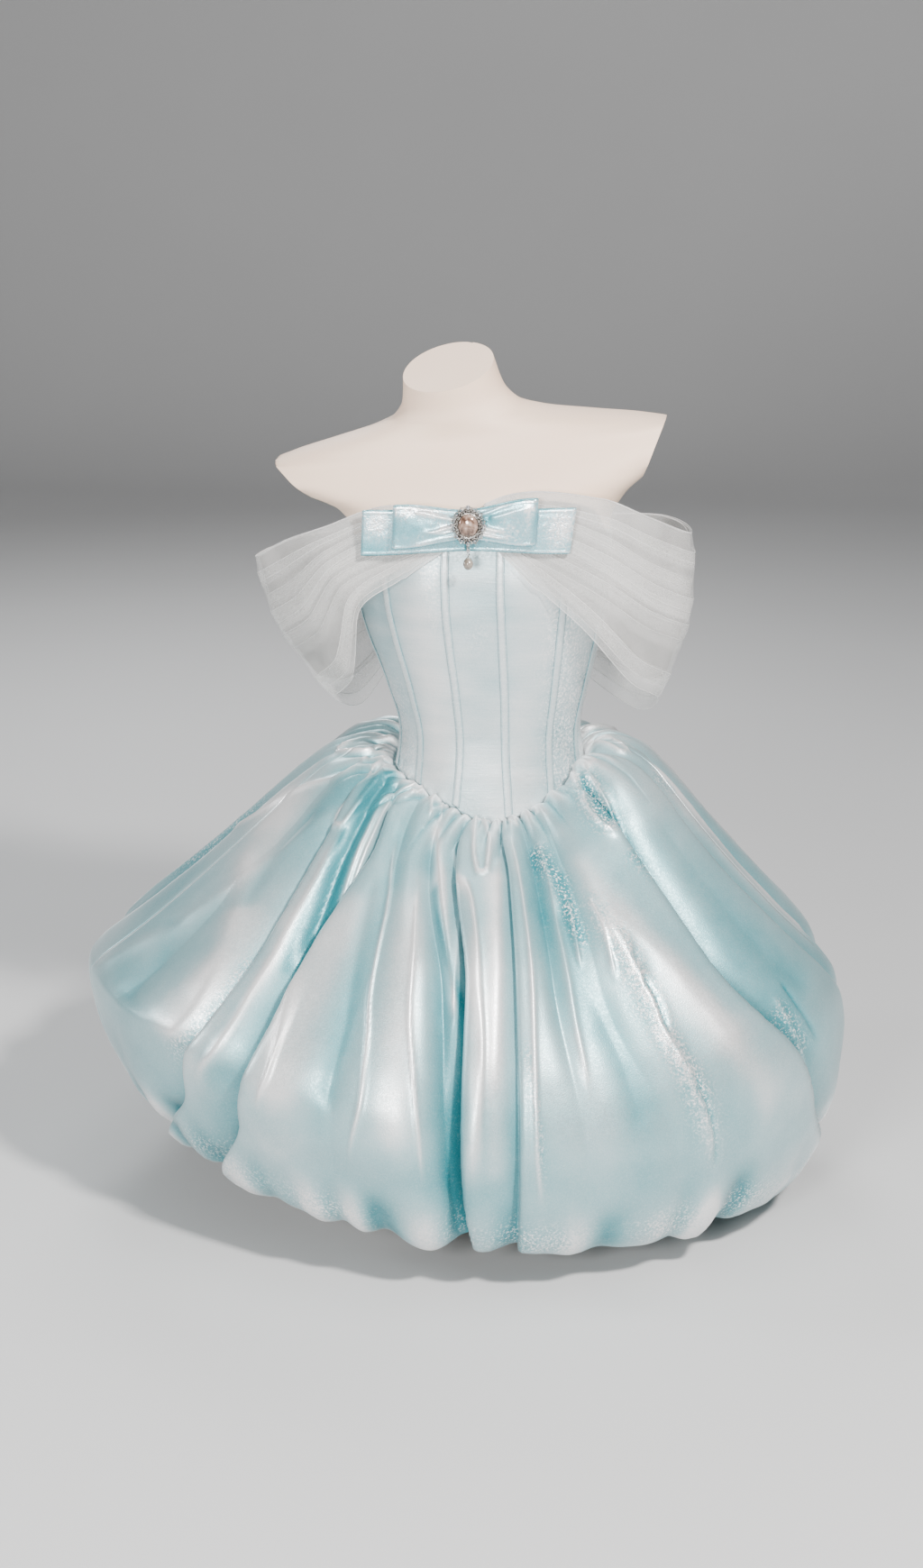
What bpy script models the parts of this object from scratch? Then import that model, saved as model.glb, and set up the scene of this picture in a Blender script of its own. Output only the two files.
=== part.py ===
"""Corset mini dress on a limbless dress form.

Metres, +Z up, the front faces -Y. The origin is the middle of the form's flat base.
Left and right are as seen from the front: left is -X.
"""

from bisect import bisect_right
from collections import namedtuple
from math import atan2, cos, degrees, exp, pi, radians, sin

import bmesh
import bpy
from mathutils import Matrix, Vector

# Driving sizes of the cloth
SEAM_GAP = 0.0003
STRIP_GAP = 0.0006
BODICE_EASE = 0.0024
BODICE_WALL = 0.0015
CHANNEL_WIDTH = 0.010
CHANNEL_WALL = 0.0010
STRIP_TRIM = 0.10
SKIRT_WALL = 0.0012
TULLE_WALL = 0.0011
RIBBON_WALL = 0.0012
BODICE_FACE = BODICE_EASE + BODICE_WALL
CHANNEL_OUT = BODICE_FACE + STRIP_GAP

# The form and the body that the dress is cut for, one row for each level
FigureRow = namedtuple("FigureRow", "height width front back middle_x middle_y tilt lean squareness")
FIGURE = [
    FigureRow(0.000, 0.128, 0.092, 0.098, 0.018, 0.006, 0.000, 0.00, 2.4),
    FigureRow(0.240, 0.160, 0.108, 0.124, 0.020, 0.006, 0.000, 0.00, 2.4),
    FigureRow(0.340, 0.166, 0.108, 0.130, 0.022, 0.006, 0.000, 0.00, 2.3),
    FigureRow(0.420, 0.160, 0.104, 0.122, 0.028, 0.004, 0.000, 0.00, 2.3),
    FigureRow(0.480, 0.139, 0.098, 0.106, 0.035, 0.002, 0.000, 0.00, 2.3),
    FigureRow(0.530, 0.1165, 0.0915, 0.090, 0.036, 0.000, 0.000, 0.00, 2.3),
    FigureRow(0.590, 0.1065, 0.086, 0.078, 0.0355, 0.000, 0.000, 0.00, 2.3),
    FigureRow(0.650, 0.1200, 0.092, 0.083, 0.0330, 0.000, 0.002, 0.00, 2.3),
    FigureRow(0.720, 0.1405, 0.100, 0.091, 0.0280, 0.000, 0.012, 0.00, 2.35),
    FigureRow(0.760, 0.148, 0.103, 0.095, 0.0260, 0.000, 0.022, 0.00, 2.4),
    FigureRow(0.800, 0.151, 0.103, 0.098, 0.0250, 0.001, 0.035, 0.00, 2.5),
    FigureRow(0.840, 0.154, 0.100, 0.099, 0.0250, 0.002, 0.050, 0.00, 2.6),
    FigureRow(0.870, 0.172, 0.095, 0.097, 0.0250, 0.004, 0.072, 0.00, 2.8),
    FigureRow(0.895, 0.212, 0.086, 0.092, 0.0210, 0.008, 0.098, 0.00, 2.9),
    FigureRow(0.917, 0.248, 0.073, 0.082, 0.0150, 0.012, 0.115, 0.00, 2.9),
    FigureRow(0.934, 0.248, 0.065, 0.072, 0.0100, 0.014, 0.122, 0.02, 2.7),
    FigureRow(0.945, 0.216, 0.060, 0.064, 0.0070, 0.014, 0.124, 0.03, 2.4),
    FigureRow(0.955, 0.164, 0.057, 0.060, 0.0030, 0.012, 0.124, 0.05, 2.2),
    FigureRow(0.965, 0.110, 0.056, 0.058, -0.002, 0.009, 0.126, 0.08, 2.1),
    FigureRow(0.977, 0.076, 0.055, 0.056, -0.006, 0.005, 0.132, 0.13, 2.0),
    FigureRow(0.996, 0.0605, 0.053, 0.055, -0.010, 0.000, 0.150, 0.23, 2.0),
    FigureRow(1.028, 0.0535, 0.052, 0.053, -0.0143, -0.012, 0.165, 0.40, 2.0),
]
# The rows that stand for the waist and the bust where one size is enough
WAIST = FIGURE[6]
BUST = FIGURE[10]
SHOULDER_CUT_HALF_WIDTH = 0.234
SHOULDER_CUT_HEIGHT = 0.940
SHOULDER_CUT_SLOPE = 0.735
ARMPIT_HALF_WIDTH = 0.170
FORM_COLUMNS = 36
FORM_EXTRA_LEVELS = [0.56, 0.62, 0.685]
BUST_HEIGHT = 0.785
BUST_SPACING = 0.066
BUST_RISE = 0.007
BUST_WIDTH = 0.040
BUST_TALLNESS = 0.045
SURFACE_STEP = 0.002
TURN_STEP = 0.01

# The bodice's edges, by the angle from the front
EdgeRow = namedtuple("EdgeRow", "angle neckline waistline")
EDGES = [
    EdgeRow(0, 0.868, 0.492),
    EdgeRow(10, 0.868, 0.495),
    EdgeRow(20, 0.867, 0.502),
    EdgeRow(32, 0.864, 0.512),
    EdgeRow(45, 0.858, 0.522),
    EdgeRow(60, 0.848, 0.535),
    EdgeRow(90, 0.828, 0.546),
    EdgeRow(140, 0.808, 0.551),
    EdgeRow(180, 0.802, 0.552),
]

# The bodice's seams on the right half, as angles from the front at three levels
SeamRow = namedtuple("SeamRow", "name neckline waist waistline")
SEAMS = [
    SeamRow("front", 18, 17.5, 19),
    SeamRow("side_front", 52, 49, 47),
    SeamRow("side", 77, 75, 72),
    SeamRow("side_back", 118, 118, 116),
]
PANELS = ["centre_front", "front", "side_front", "side_back", "back"]
PANEL_COLUMNS = [6, 4, 4, 5, 6]
PANEL_ROWS = 8
FRONT_POINT_TURN = radians(8)

# The skirt: its section from the waist seam to the turned-in edge
SectionRow = namedtuple("SectionRow", "arc reach height front_height")
SECTION = [
    SectionRow(0.000, 0.000, 0.5455, 0.5455),
    SectionRow(0.012, 0.012, 0.5455, 0.5455),
    SectionRow(0.050, 0.050, 0.5570, 0.543),
    SectionRow(0.100, 0.100, 0.5620, 0.533),
    SectionRow(0.170, 0.190, 0.553, 0.506),
    SectionRow(0.250, 0.300, 0.521, 0.471),
    SectionRow(0.350, 0.440, 0.471, 0.440),
    SectionRow(0.450, 0.580, 0.421, 0.405),
    SectionRow(0.550, 0.710, 0.376, 0.362),
    SectionRow(0.650, 0.830, 0.334, 0.310),
    SectionRow(0.730, 0.920, 0.299, 0.262),
    SectionRow(0.800, 0.980, 0.262, 0.215),
    SectionRow(0.850, 1.000, 0.215, 0.172),
    SectionRow(0.890, 0.985, 0.150, 0.130),
    SectionRow(0.920, 0.950, 0.108, 0.095),
    SectionRow(0.945, 0.900, 0.076, 0.068),
    SectionRow(0.965, 0.840, 0.056, 0.056),
    SectionRow(0.980, 0.790, 0.060, 0.060),
    SectionRow(1.000, 0.740, 0.085, 0.085),
]
SKIRT_MIDDLE_X = -0.012
SKIRT_HALF_WIDTH = 0.480
SKIRT_HALF_DEPTH = 0.405
SEAM_LEVEL = 0.547
FRONT_DROP = 0.050
SEAM_INSET = 0.0012
WAIST_REACH = 0.35
HEM_ARC = 0.80
SKIRT_STEP = 0.004
SKIRT_LEVELS = [0.0, 0.012, 0.04, 0.09, 0.16, 0.26, 0.39, 0.52, 0.65, 0.77, 0.86, 0.92, 0.965, 1.0]

# The skirt's folds: the angle of each trough at four levels, its depths and its half width in degrees
# tuck is how far the hem is drawn up and in near the trough, and puff how far the cloth stands out
FoldRow = namedtuple("FoldRow", "seam upper middle hem gather depth hem_depth width tuck puff columns")
FOLD_LEVELS = (0.0, 0.30, 0.55, 0.87)
FOLDS = [
    FoldRow(-171, -171, -170, -171, 0.007, 0.028, 0.032, 3.0, 0.000, 0.010, 5),
    FoldRow(-157, -156, -158, -155, 0.009, 0.036, 0.040, 3.4, 0.008, 0.010, 5),
    FoldRow(-142, -141, -139, -142, 0.007, 0.022, 0.026, 3.0, 0.004, 0.010, 4),
    FoldRow(-128, -126, -127, -124, 0.009, 0.038, 0.042, 3.4, 0.012, 0.010, 5),
    FoldRow(-112, -108, -106, -108, 0.008, 0.024, 0.032, 3.0, 0.010, 0.010, 5),
    FoldRow(-98, -88, -87, -92, 0.009, 0.030, 0.036, 3.4, 0.030, -0.002, 5),
    FoldRow(-86, -65, -63, -70, 0.007, 0.012, 0.018, 4.0, 0.040, -0.006, 5),
    FoldRow(-74, -44, -38, -49, 0.010, 0.034, 0.040, 3.0, 0.040, -0.006, 5),
    FoldRow(-55, -33, -29, -33, 0.012, 0.044, 0.046, 3.4, 0.030, 0.004, 4),
    FoldRow(-38, -23, -21, -22, 0.008, 0.014, 0.018, 2.4, 0.022, 0.008, 4),
    FoldRow(-24, -15, -12, -8, 0.008, 0.018, 0.022, 2.4, 0.008, 0.010, 4),
    FoldRow(-11, -8, -4, 6, 0.012, 0.044, 0.046, 3.0, 0.000, 0.010, 4),
    FoldRow(10, 12, 16, 16, 0.010, 0.028, 0.030, 2.4, 0.000, 0.010, 4),
    FoldRow(24, 22, 22, 29, 0.010, 0.016, 0.008, 2.4, 0.000, 0.012, 4),
    FoldRow(37, 34, 34, 43, 0.009, 0.007, 0.008, 3.0, 0.000, 0.014, 4),
    FoldRow(52, 47, 53, 68, 0.011, 0.032, 0.040, 3.0, 0.000, 0.018, 5),
    FoldRow(76, 69, 74, 87, 0.011, 0.032, 0.036, 3.0, 0.006, 0.018, 5),
    FoldRow(96, 91, 93, 103, 0.009, 0.026, 0.032, 3.0, 0.008, 0.016, 5),
    FoldRow(112, 110, 110, 117, 0.010, 0.037, 0.041, 3.4, 0.012, 0.010, 4),
    FoldRow(126, 125, 127, 130, 0.008, 0.022, 0.026, 3.0, 0.004, 0.010, 4),
    FoldRow(141, 141, 143, 143, 0.010, 0.036, 0.040, 3.4, 0.010, 0.010, 5),
    FoldRow(156, 157, 156, 158, 0.008, 0.025, 0.030, 3.0, 0.004, 0.010, 5),
    FoldRow(171, 171, 171, 171, 0.007, 0.028, 0.032, 3.0, 0.000, 0.010, 5),
]
GATHER_END = 0.34
GATHER_RISE = 0.0045
SEAM_BAND = 0.012
FOLD_START = 0.07
FOLD_REACH = 14.0
FOLD_SHARPNESS = 1.6
HEM_WIDTH_SHARE = 1.3
DEPTH_LEVELS = (0.0, 0.22, 0.55, 0.87, 1.0)
TUCK_START = 0.70
TUCK_LENGTH = 0.22
TUCK_MIDDLE = (0.03, 0.0)
LEFT_SEAM_FOLD = 5
RIGHT_SEAM_FOLD = 16
BACK_SEAM_FOLD = 22

# The tulle drapes: their two long edges from the bow round the side to the back, for the right one
DrapeRow = namedtuple("DrapeRow", "along top_x top_y top_z low_x low_y low_z bulge")
DRAPE_RIGHT = [
    DrapeRow(0.00, 0.038, -0.1045, 0.880, 0.038, -0.1050, 0.844, 0.000),
    DrapeRow(0.15, 0.100, -0.1020, 0.899, 0.092, -0.1060, 0.792, 0.002),
    DrapeRow(0.32, 0.172, -0.0860, 0.889, 0.168, -0.1080, 0.722, 0.010),
    DrapeRow(0.42, 0.225, -0.0550, 0.862, 0.208, -0.0700, 0.664, 0.014),
    DrapeRow(0.50, 0.272, 0.0000, 0.834, 0.236, -0.0150, 0.634, 0.016),
    DrapeRow(0.68, 0.235, 0.0950, 0.835, 0.205, 0.0900, 0.590, 0.016),
    DrapeRow(0.85, 0.130, 0.1250, 0.826, 0.120, 0.1280, 0.640, 0.008),
    DrapeRow(1.00, 0.060, 0.1100, 0.806, 0.060, 0.1100, 0.770, 0.000),
]
DRAPE_LEFT = [
    DrapeRow(0.00, 0.004, -0.1045, 0.870, 0.004, -0.1050, 0.834, 0.000),
    DrapeRow(0.15, -0.066, -0.1010, 0.8785, -0.055, -0.1050, 0.793, 0.002),
    DrapeRow(0.32, -0.150, -0.0840, 0.848, -0.106, -0.1100, 0.750, 0.010),
    DrapeRow(0.42, -0.205, -0.0480, 0.822, -0.114, -0.0980, 0.672, 0.014),
    DrapeRow(0.50, -0.247, 0.0000, 0.793, -0.148, -0.0300, 0.626, 0.018),
    DrapeRow(0.68, -0.205, 0.0900, 0.800, -0.132, 0.0750, 0.590, 0.016),
    DrapeRow(0.85, -0.110, 0.1200, 0.806, -0.095, 0.1200, 0.640, 0.008),
    DrapeRow(1.00, -0.015, 0.1100, 0.800, -0.015, 0.1100, 0.764, 0.000),
]
DRAPE_PLEATS = 5
DRAPE_HOLD = 0.14
DRAPE_PLEAT_SHARE = 0.30
DRAPE_PLEAT_LIMIT = 0.007
DRAPE_REST = BODICE_FACE + STRIP_GAP + CHANNEL_WALL + 0.0013
DRAPE_COLUMNS = 14
DRAPE_ROWS = 12

# The bow: each loop's middle, its reach from there, its tilt and the y of its front
BOW_WAVES = 2
BOW_RIPPLE = 0.0010
BOW_COLUMNS = 3
BOW_ROWS = 5
LOOP_FILL = 1.15
LoopRow = namedtuple("LoopRow", "name middle_x middle_z start reach tilt height pinch front_y gap")
LOOPS = [
    LoopRow("bow_under_left", 0.0195, 0.8520, 0.0010, -0.1235, 1.9, 0.0530, 0.044, -0.1174, 0.0055),
    LoopRow("bow_under_right", 0.0195, 0.8520, 0.0010, 0.1235, 1.9, 0.0530, 0.044, -0.1174, 0.0055),
    LoopRow("bow_upper_left", 0.0195, 0.8625, 0.0020, -0.0860, 3.4, 0.0510, 0.034, -0.1289, 0.0085),
    LoopRow("bow_upper_right", 0.0195, 0.8625, 0.0020, 0.0820, 3.4, 0.0545, 0.034, -0.1289, 0.0085),
]
KNOT_MIDDLE = Vector((0.0215, -0.1332, 0.8625))
KNOT_SIZE = (0.024, 0.0040, 0.036)
KNOT_BEVEL = 0.0015

# The brooch and its drop
BROOCH_MIDDLE = Vector((0.0235, -0.1374, 0.8640))
BROOCH_WIDTH = 0.0400
BROOCH_HEIGHT = 0.0450
BROOCH_THICKNESS = 0.0036
BROOCH_BEVEL = 0.0012
STONE_WIDTH = 0.0230
STONE_HEIGHT = 0.0270
STONE_RISE = 0.0060
STONE_CUT = 0.0006
RING_MAJOR = 0.0016
RING_MINOR = 0.00045
RING_STEP = 0.0020
RING_SINK = 0.0004
RING_FORWARD = 0.0006
LINK_BEAD_RADIUS = 0.0024
PEARL_WIDTH = 0.0118
PEARL_HEIGHT = 0.0150

# The zip at the centre back
ZIP_WIDTH = 0.013
ZIP_WALL = 0.0012
SLIDER_SIZE = (0.0058, 0.0034, 0.0085)
SLIDER_DROP = 0.012
SLIDER_LIFT = 0.0006
SLIDER_BEVEL = 0.0009
SLIDER_RING_MAJOR = 0.0018
SLIDER_RING_OUT = 0.0013
PULL_RING_MAJOR = 0.0019
PULL_RING_MINOR = 0.0005
PULL_LENGTH = 0.015
PULL_WIDTH = 0.0056
PULL_WALL = 0.0012
PULL_SINK = 0.0004

PART_COLLECTION = "corset_mini_dress"


def start_clean():
    """Empty the scene and make the part's collection."""
    for thing in list(bpy.data.objects):
        bpy.data.objects.remove(thing, do_unlink=True)
    collection = bpy.data.collections.new(PART_COLLECTION)
    bpy.context.scene.collection.children.link(collection)
    return collection


def make_material(name, colour, roughness, metallic=0.0):
    """A Principled material with plain values."""
    material = bpy.data.materials.new(name)
    material.use_nodes = True
    shader = material.node_tree.nodes["Principled BSDF"]
    shader.inputs["Base Color"].default_value = (*colour, 1.0)
    shader.inputs["Roughness"].default_value = roughness
    shader.inputs["Metallic"].default_value = metallic
    return material


def smooth_reading(rows, key, value, at):
    """A table's column read between its rows, with no overshoot."""
    places = [getattr(row, key) for row in rows]
    values = [getattr(row, value) for row in rows]
    return smooth_between(places, values, at)


def smooth_between(places, values, at):
    """A smooth curve through values at rising places, with no overshoot."""
    if at <= places[0]:
        return values[0]
    if at >= places[-1]:
        return values[-1]
    low = bisect_right(places, at) - 1
    high = low + 1
    step = places[high] - places[low]
    t = (at - places[low]) / step
    rise = [(b - a) / (q - p) for a, b, p, q in zip(values, values[1:], places, places[1:])]

    def slope(index):
        if index == 0:
            return rise[0]
        if index == len(values) - 1:
            return rise[-1]
        before, after = rise[index - 1], rise[index]
        return 0.0 if before * after <= 0 else 2 * before * after / (before + after)

    return ((2 * t**3 - 3 * t**2 + 1) * values[low] + (t**3 - 2 * t**2 + t) * step * slope(low)
            + (3 * t**2 - 2 * t**3) * values[high] + (t**3 - t**2) * step * slope(high))


def ease(t):
    """A smooth step from 0 to 1."""
    t = min(1.0, max(0.0, t))
    return t * t * (3 - 2 * t)


def side_angle(angle):
    """The angle from the front, in degrees, the same on both sides."""
    return abs((degrees(angle) + 180) % 360 - 180)


def oval_radius(angle, width, depth, squareness=2.0):
    """The radius of a rounded rectangle or oval at an angle from the front."""
    across = abs(sin(angle) / width) ** squareness
    along = abs(cos(angle) / depth) ** squareness
    return (across + along) ** (-1 / squareness)


def figure_point(height, angle, out=0.0):
    """A point of the figure's surface at a level and an angle, moved out by a distance."""
    def read(value):
        return smooth_reading(FIGURE, "height", value, height)

    depth = read("front") if cos(angle) > 0 else read("back")
    radius = oval_radius(angle, read("width"), depth, read("squareness")) + out
    x = radius * sin(angle)
    y = -radius * cos(angle)
    below_cut = SHOULDER_CUT_HEIGHT - height
    cut = max(ARMPIT_HALF_WIDTH, SHOULDER_CUT_HALF_WIDTH - SHOULDER_CUT_SLOPE * below_cut)
    x = max(-cut, min(cut, x))
    if y < 0:
        level = (height - BUST_HEIGHT) / BUST_TALLNESS
        aside = (abs(x) - BUST_SPACING) / BUST_WIDTH
        y -= BUST_RISE * exp(-(level * level) - aside * aside)
    z = height + read("tilt") * x + read("lean") * y
    return Vector((read("middle_x") + x, read("middle_y") + y, z))


def neckline(angle):
    """The bodice's top level at an angle."""
    return smooth_reading(EDGES, "angle", "neckline", side_angle(angle))


def waistline(angle):
    """The bodice's lower level at an angle, lowest at the front point."""
    turned = angle - FRONT_POINT_TURN * max(0.0, cos(angle))
    return smooth_reading(EDGES, "angle", "waistline", side_angle(turned))


def mesh_object(name, bm, material, collection):
    """Finish a bmesh as a smooth-shaded object with one material."""
    mesh = bpy.data.meshes.new(name)
    bm.to_mesh(mesh)
    bm.free()
    mesh.materials.append(material)
    mesh.shade_smooth()
    thing = bpy.data.objects.new(name, mesh)
    collection.objects.link(thing)
    return thing


def sheet_mesh(rows, round_about=False):
    """A grid of faces over rows of points."""
    bm = bmesh.new()
    grid = [[bm.verts.new(point) for point in row] for row in rows]
    for lower, upper in zip(grid, grid[1:]):
        count = len(lower)
        for i in range(count if round_about else count - 1):
            j = (i + 1) % count
            bm.faces.new((lower[i], lower[j], upper[j], upper[i]))
    return bm, grid


def cloth(name, rows, wall, material, collection, side=0.0):
    """A cloth wall over rows of points; side 1 puts it outside the points, 0 about them."""
    bm, _ = sheet_mesh(rows)
    thing = mesh_object(name, bm, material, collection)
    solid = thing.modifiers.new("Wall", "SOLIDIFY")
    solid.thickness = wall
    solid.offset = side
    return thing


def spread(start, end, count):
    """Evenly spread values from start to end."""
    return [start + (end - start) * i / count for i in range(count + 1)]


def apply_modifiers(thing):
    """Replace an object's mesh with its evaluated one."""
    bpy.context.view_layer.update()
    evaluated = thing.evaluated_get(bpy.context.evaluated_depsgraph_get())
    mesh = bpy.data.meshes.new_from_object(evaluated)
    thing.modifiers.clear()
    thing.data = mesh


def unite(thing, others):
    """Join others to an object with exact unions, and remove them."""
    for other in others:
        union = thing.modifiers.new("Join", "BOOLEAN")
        union.operation = "UNION"
        union.solver = "EXACT"
        union.object = other
        apply_modifiers(thing)
        bpy.data.objects.remove(other, do_unlink=True)
    return thing


# Torso form

def build_form(material, collection):
    """The smooth torso with its neck cap and cut shoulders."""
    levels = sorted([row.height for row in FIGURE] + FORM_EXTRA_LEVELS)
    angles = [2 * pi * i / FORM_COLUMNS for i in range(FORM_COLUMNS)]
    rows = [[figure_point(level, angle) for angle in angles] for level in levels]
    bm, grid = sheet_mesh(rows, round_about=True)
    bm.faces.new(reversed(grid[0]))
    bm.faces.new(grid[-1])
    form = mesh_object("torso_form", bm, material, collection)
    form.data.set_sharp_from_angle(angle=radians(40))
    return form


# Bodice

def seam_angle(index, along):
    """A seam's angle on the right half, from the waistline at 0 to the neckline at 1."""
    if index == 0:
        return 0.0
    if index == len(SEAMS) + 1:
        return pi
    row = SEAMS[index - 1]
    return radians(smooth_between((0.0, 0.25, 1.0), (row.waistline, row.waist, row.neckline), along))


def bodice_point(angle, along, out):
    """A point between the waistline and the neckline, moved out square to the figure."""
    low = waistline(angle)
    height = low + (neckline(angle) - low) * along
    aside = figure_point(height, angle + TURN_STEP) - figure_point(height, angle - TURN_STEP)
    up = figure_point(height + SURFACE_STEP, angle) - figure_point(height - SURFACE_STEP, angle)
    return figure_point(height, angle) + aside.cross(up).normalized() * out


def build_panel(name, left, right, columns, material, collection):
    """One bodice panel between two seams, given as functions of the way up."""
    gap = SEAM_GAP / 2 / WAIST.width
    rows = []
    for along in spread(0.0, 1.0, PANEL_ROWS):
        angles = spread(left(along) + gap, right(along) - gap, columns)
        rows.append([bodice_point(angle, along, BODICE_EASE) for angle in angles])
    return cloth(name, rows, BODICE_WALL, material, collection, side=1.0)


def build_strip(name, angle_of, width, wall, material, collection):
    """A narrow strip up the bodice, over a seam."""
    rows = []
    for along in spread(0.0, 1.0, PANEL_ROWS):
        angle = angle_of(along)
        aside = (bodice_point(angle + TURN_STEP, along, CHANNEL_OUT)
                 - bodice_point(angle - TURN_STEP, along, CHANNEL_OUT))
        half = TURN_STEP * width / aside.length
        rows.append([bodice_point(angle + part * half, along, CHANNEL_OUT) for part in (-1, 0, 1)])
    rows[0] = [low.lerp(high, STRIP_TRIM) for low, high in zip(rows[0], rows[1])]
    rows[-1] = [high.lerp(low, STRIP_TRIM) for low, high in zip(rows[-2], rows[-1])]
    return cloth(name, rows, wall, material, collection, side=1.0)


def build_bodice(satin, collection):
    """The nine panels and the boning channels over their seams."""
    for index, name in enumerate(PANELS):
        columns = PANEL_COLUMNS[index]

        def near(along, index=index):
            return seam_angle(index, along)

        def far(along, index=index):
            return seam_angle(index + 1, along)

        if index == 0:
            build_panel("bodice_centre_front", lambda t: -far(t), far, columns, satin, collection)
            continue
        build_panel("bodice_" + name + "_right", near, far, columns, satin, collection)
        build_panel("bodice_" + name + "_left", lambda t: -far(t), lambda t: -near(t), columns, satin,
                    collection)
    for index, row in enumerate(SEAMS, start=1):
        for side, sign in (("right", 1), ("left", -1)):
            build_strip("boning_" + row.name + "_" + side, lambda t: sign * seam_angle(index, t),
                        CHANNEL_WIDTH, CHANNEL_WALL, satin, collection)


# Skirt

def fold_angle(row, arc):
    """A trough's angle at a place along the section, in degrees."""
    return smooth_between(FOLD_LEVELS, (row.seam, row.upper, row.middle, row.hem), arc)


def skirt_base(angle, arc):
    """The skirt's form without folds."""
    low = waistline(angle)
    waist = figure_point(low, angle, SEAM_INSET)
    ring = oval_radius(angle, SKIRT_HALF_WIDTH, SKIRT_HALF_DEPTH)
    reach = smooth_reading(SECTION, "arc", "reach", arc)
    height = smooth_reading(SECTION, "arc", "height", arc)
    front = min(1.0, (SEAM_LEVEL - low) / FRONT_DROP)
    height += (smooth_reading(SECTION, "arc", "front_height", arc) - height) * ease(max(0.0, front))
    level = 1.0 if arc > HEM_ARC else ease(reach / WAIST_REACH)
    z = (low - SEAM_LEVEL) * (1 - level) + height
    return Vector(((1 - reach) * waist.x + reach * (SKIRT_MIDDLE_X + ring * sin(angle)),
                   (1 - reach) * waist.y - reach * ring * cos(angle), z))


def skirt_normal(angle, arc):
    """The outward direction of the skirt's form."""
    aside = skirt_base(angle + SKIRT_STEP, arc) - skirt_base(angle - SKIRT_STEP, arc)
    up = skirt_base(angle, min(1.0, arc + SKIRT_STEP)) - skirt_base(angle, max(0.0, arc - SKIRT_STEP))
    return up.cross(aside).normalized()


def fold_push(angle, arc):
    """How far the folds move the cloth out, and how far the hem is tucked."""
    turn = degrees(angle)
    start = ease((arc - SEAM_BAND) / FOLD_START)
    push = 0.0
    puff = 0.0
    tuck = 0.0
    share = 0.0
    for row in FOLDS:
        away = (turn - fold_angle(row, arc) + 180) % 360 - 180
        near = exp(-((away / FOLD_REACH) ** 2))
        tuck += near * row.tuck
        puff += near * row.puff
        share += near
        depths = (row.gather / 2, row.gather, row.depth, row.hem_depth, row.hem_depth / 2)
        depth = smooth_between(DEPTH_LEVELS, depths, arc)
        width = row.width * max(HEM_WIDTH_SHARE, 1.9 - 1.2 * arc)
        push -= depth * exp(-(abs(away / width) ** FOLD_SHARPNESS))
    share = max(share, 0.2)
    return start * (push + puff / share), tuck / share


def skirt_point(angle, arc, ripple=0.0):
    """A point of the folded skirt."""
    push, tuck = fold_push(angle, arc)
    point = skirt_base(angle, arc) + skirt_normal(angle, arc) * (push + ripple)
    drawn = tuck * ease((arc - TUCK_START) / TUCK_LENGTH)
    middle = Vector((*TUCK_MIDDLE, point.z))
    inward = (middle - point).normalized()
    return point + inward * drawn + Vector((0, 0, drawn))


def skirt_ring(arc):
    """The skirt's points all the way round at one place along the section."""
    ring_points = []
    for here, after in zip(FOLDS, FOLDS[1:] + FOLDS[:1]):
        low, high = fold_angle(here, arc), fold_angle(after, arc)
        high += 360 if high < low else 0
        for part in range(here.columns):
            ripple = 0.0
            if arc < GATHER_END:
                strength = ease((arc - SEAM_BAND) / FOLD_START) * (1 - ease(arc / GATHER_END))
                ripple = (GATHER_RISE if part % 2 else -GATHER_RISE / 3) * strength
            angle = radians(low + (high - low) * part / here.columns)
            ring_points.append(skirt_point(angle, arc, ripple))
    return ring_points


def seam_column(seam_fold):
    """The column that a seam follows: just past the middle of the ridge after a fold."""
    before = sum(row.columns for row in FOLDS[:seam_fold])
    return before + FOLDS[seam_fold].columns // 2


def build_skirt(satin, collection):
    """The front and the two backs, gathered at the waist and turned in at the hem."""
    rings = [skirt_ring(arc) for arc in SKIRT_LEVELS]
    count = len(rings[0])
    left, right, back = (seam_column(fold) for fold in (LEFT_SEAM_FOLD, RIGHT_SEAM_FOLD, BACK_SEAM_FOLD))
    for name, first, last in (("skirt_front", left, right), ("skirt_back_right", right, back),
                              ("skirt_back_left", back, left)):
        rows = []
        for points in rings:
            row = [seam_edge(points, first, 1)]
            step = (first + 1) % count
            while step != (last + 1) % count:
                row.append(points[step])
                step = (step + 1) % count
            row.append(seam_edge(points, last, -1))
            rows.append(row)
        cloth(name, rows[::-1], SKIRT_WALL, satin, collection)


def seam_edge(points, column, side):
    """The edge of a piece at a seam, midway between two columns."""
    here, after = points[column], points[(column + 1) % len(points)]
    along = (after - here).normalized()
    return (here + after) / 2 + along * (side * SEAM_GAP / 2)


# Tulle drapes

def on_figure(point, out):
    """The point of the figure's surface level with a point, moved out by a distance."""
    aside = point.x - BUST.middle_x
    return figure_point(point.z - BUST.tilt * aside, atan2(aside, -point.y), out)


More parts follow.
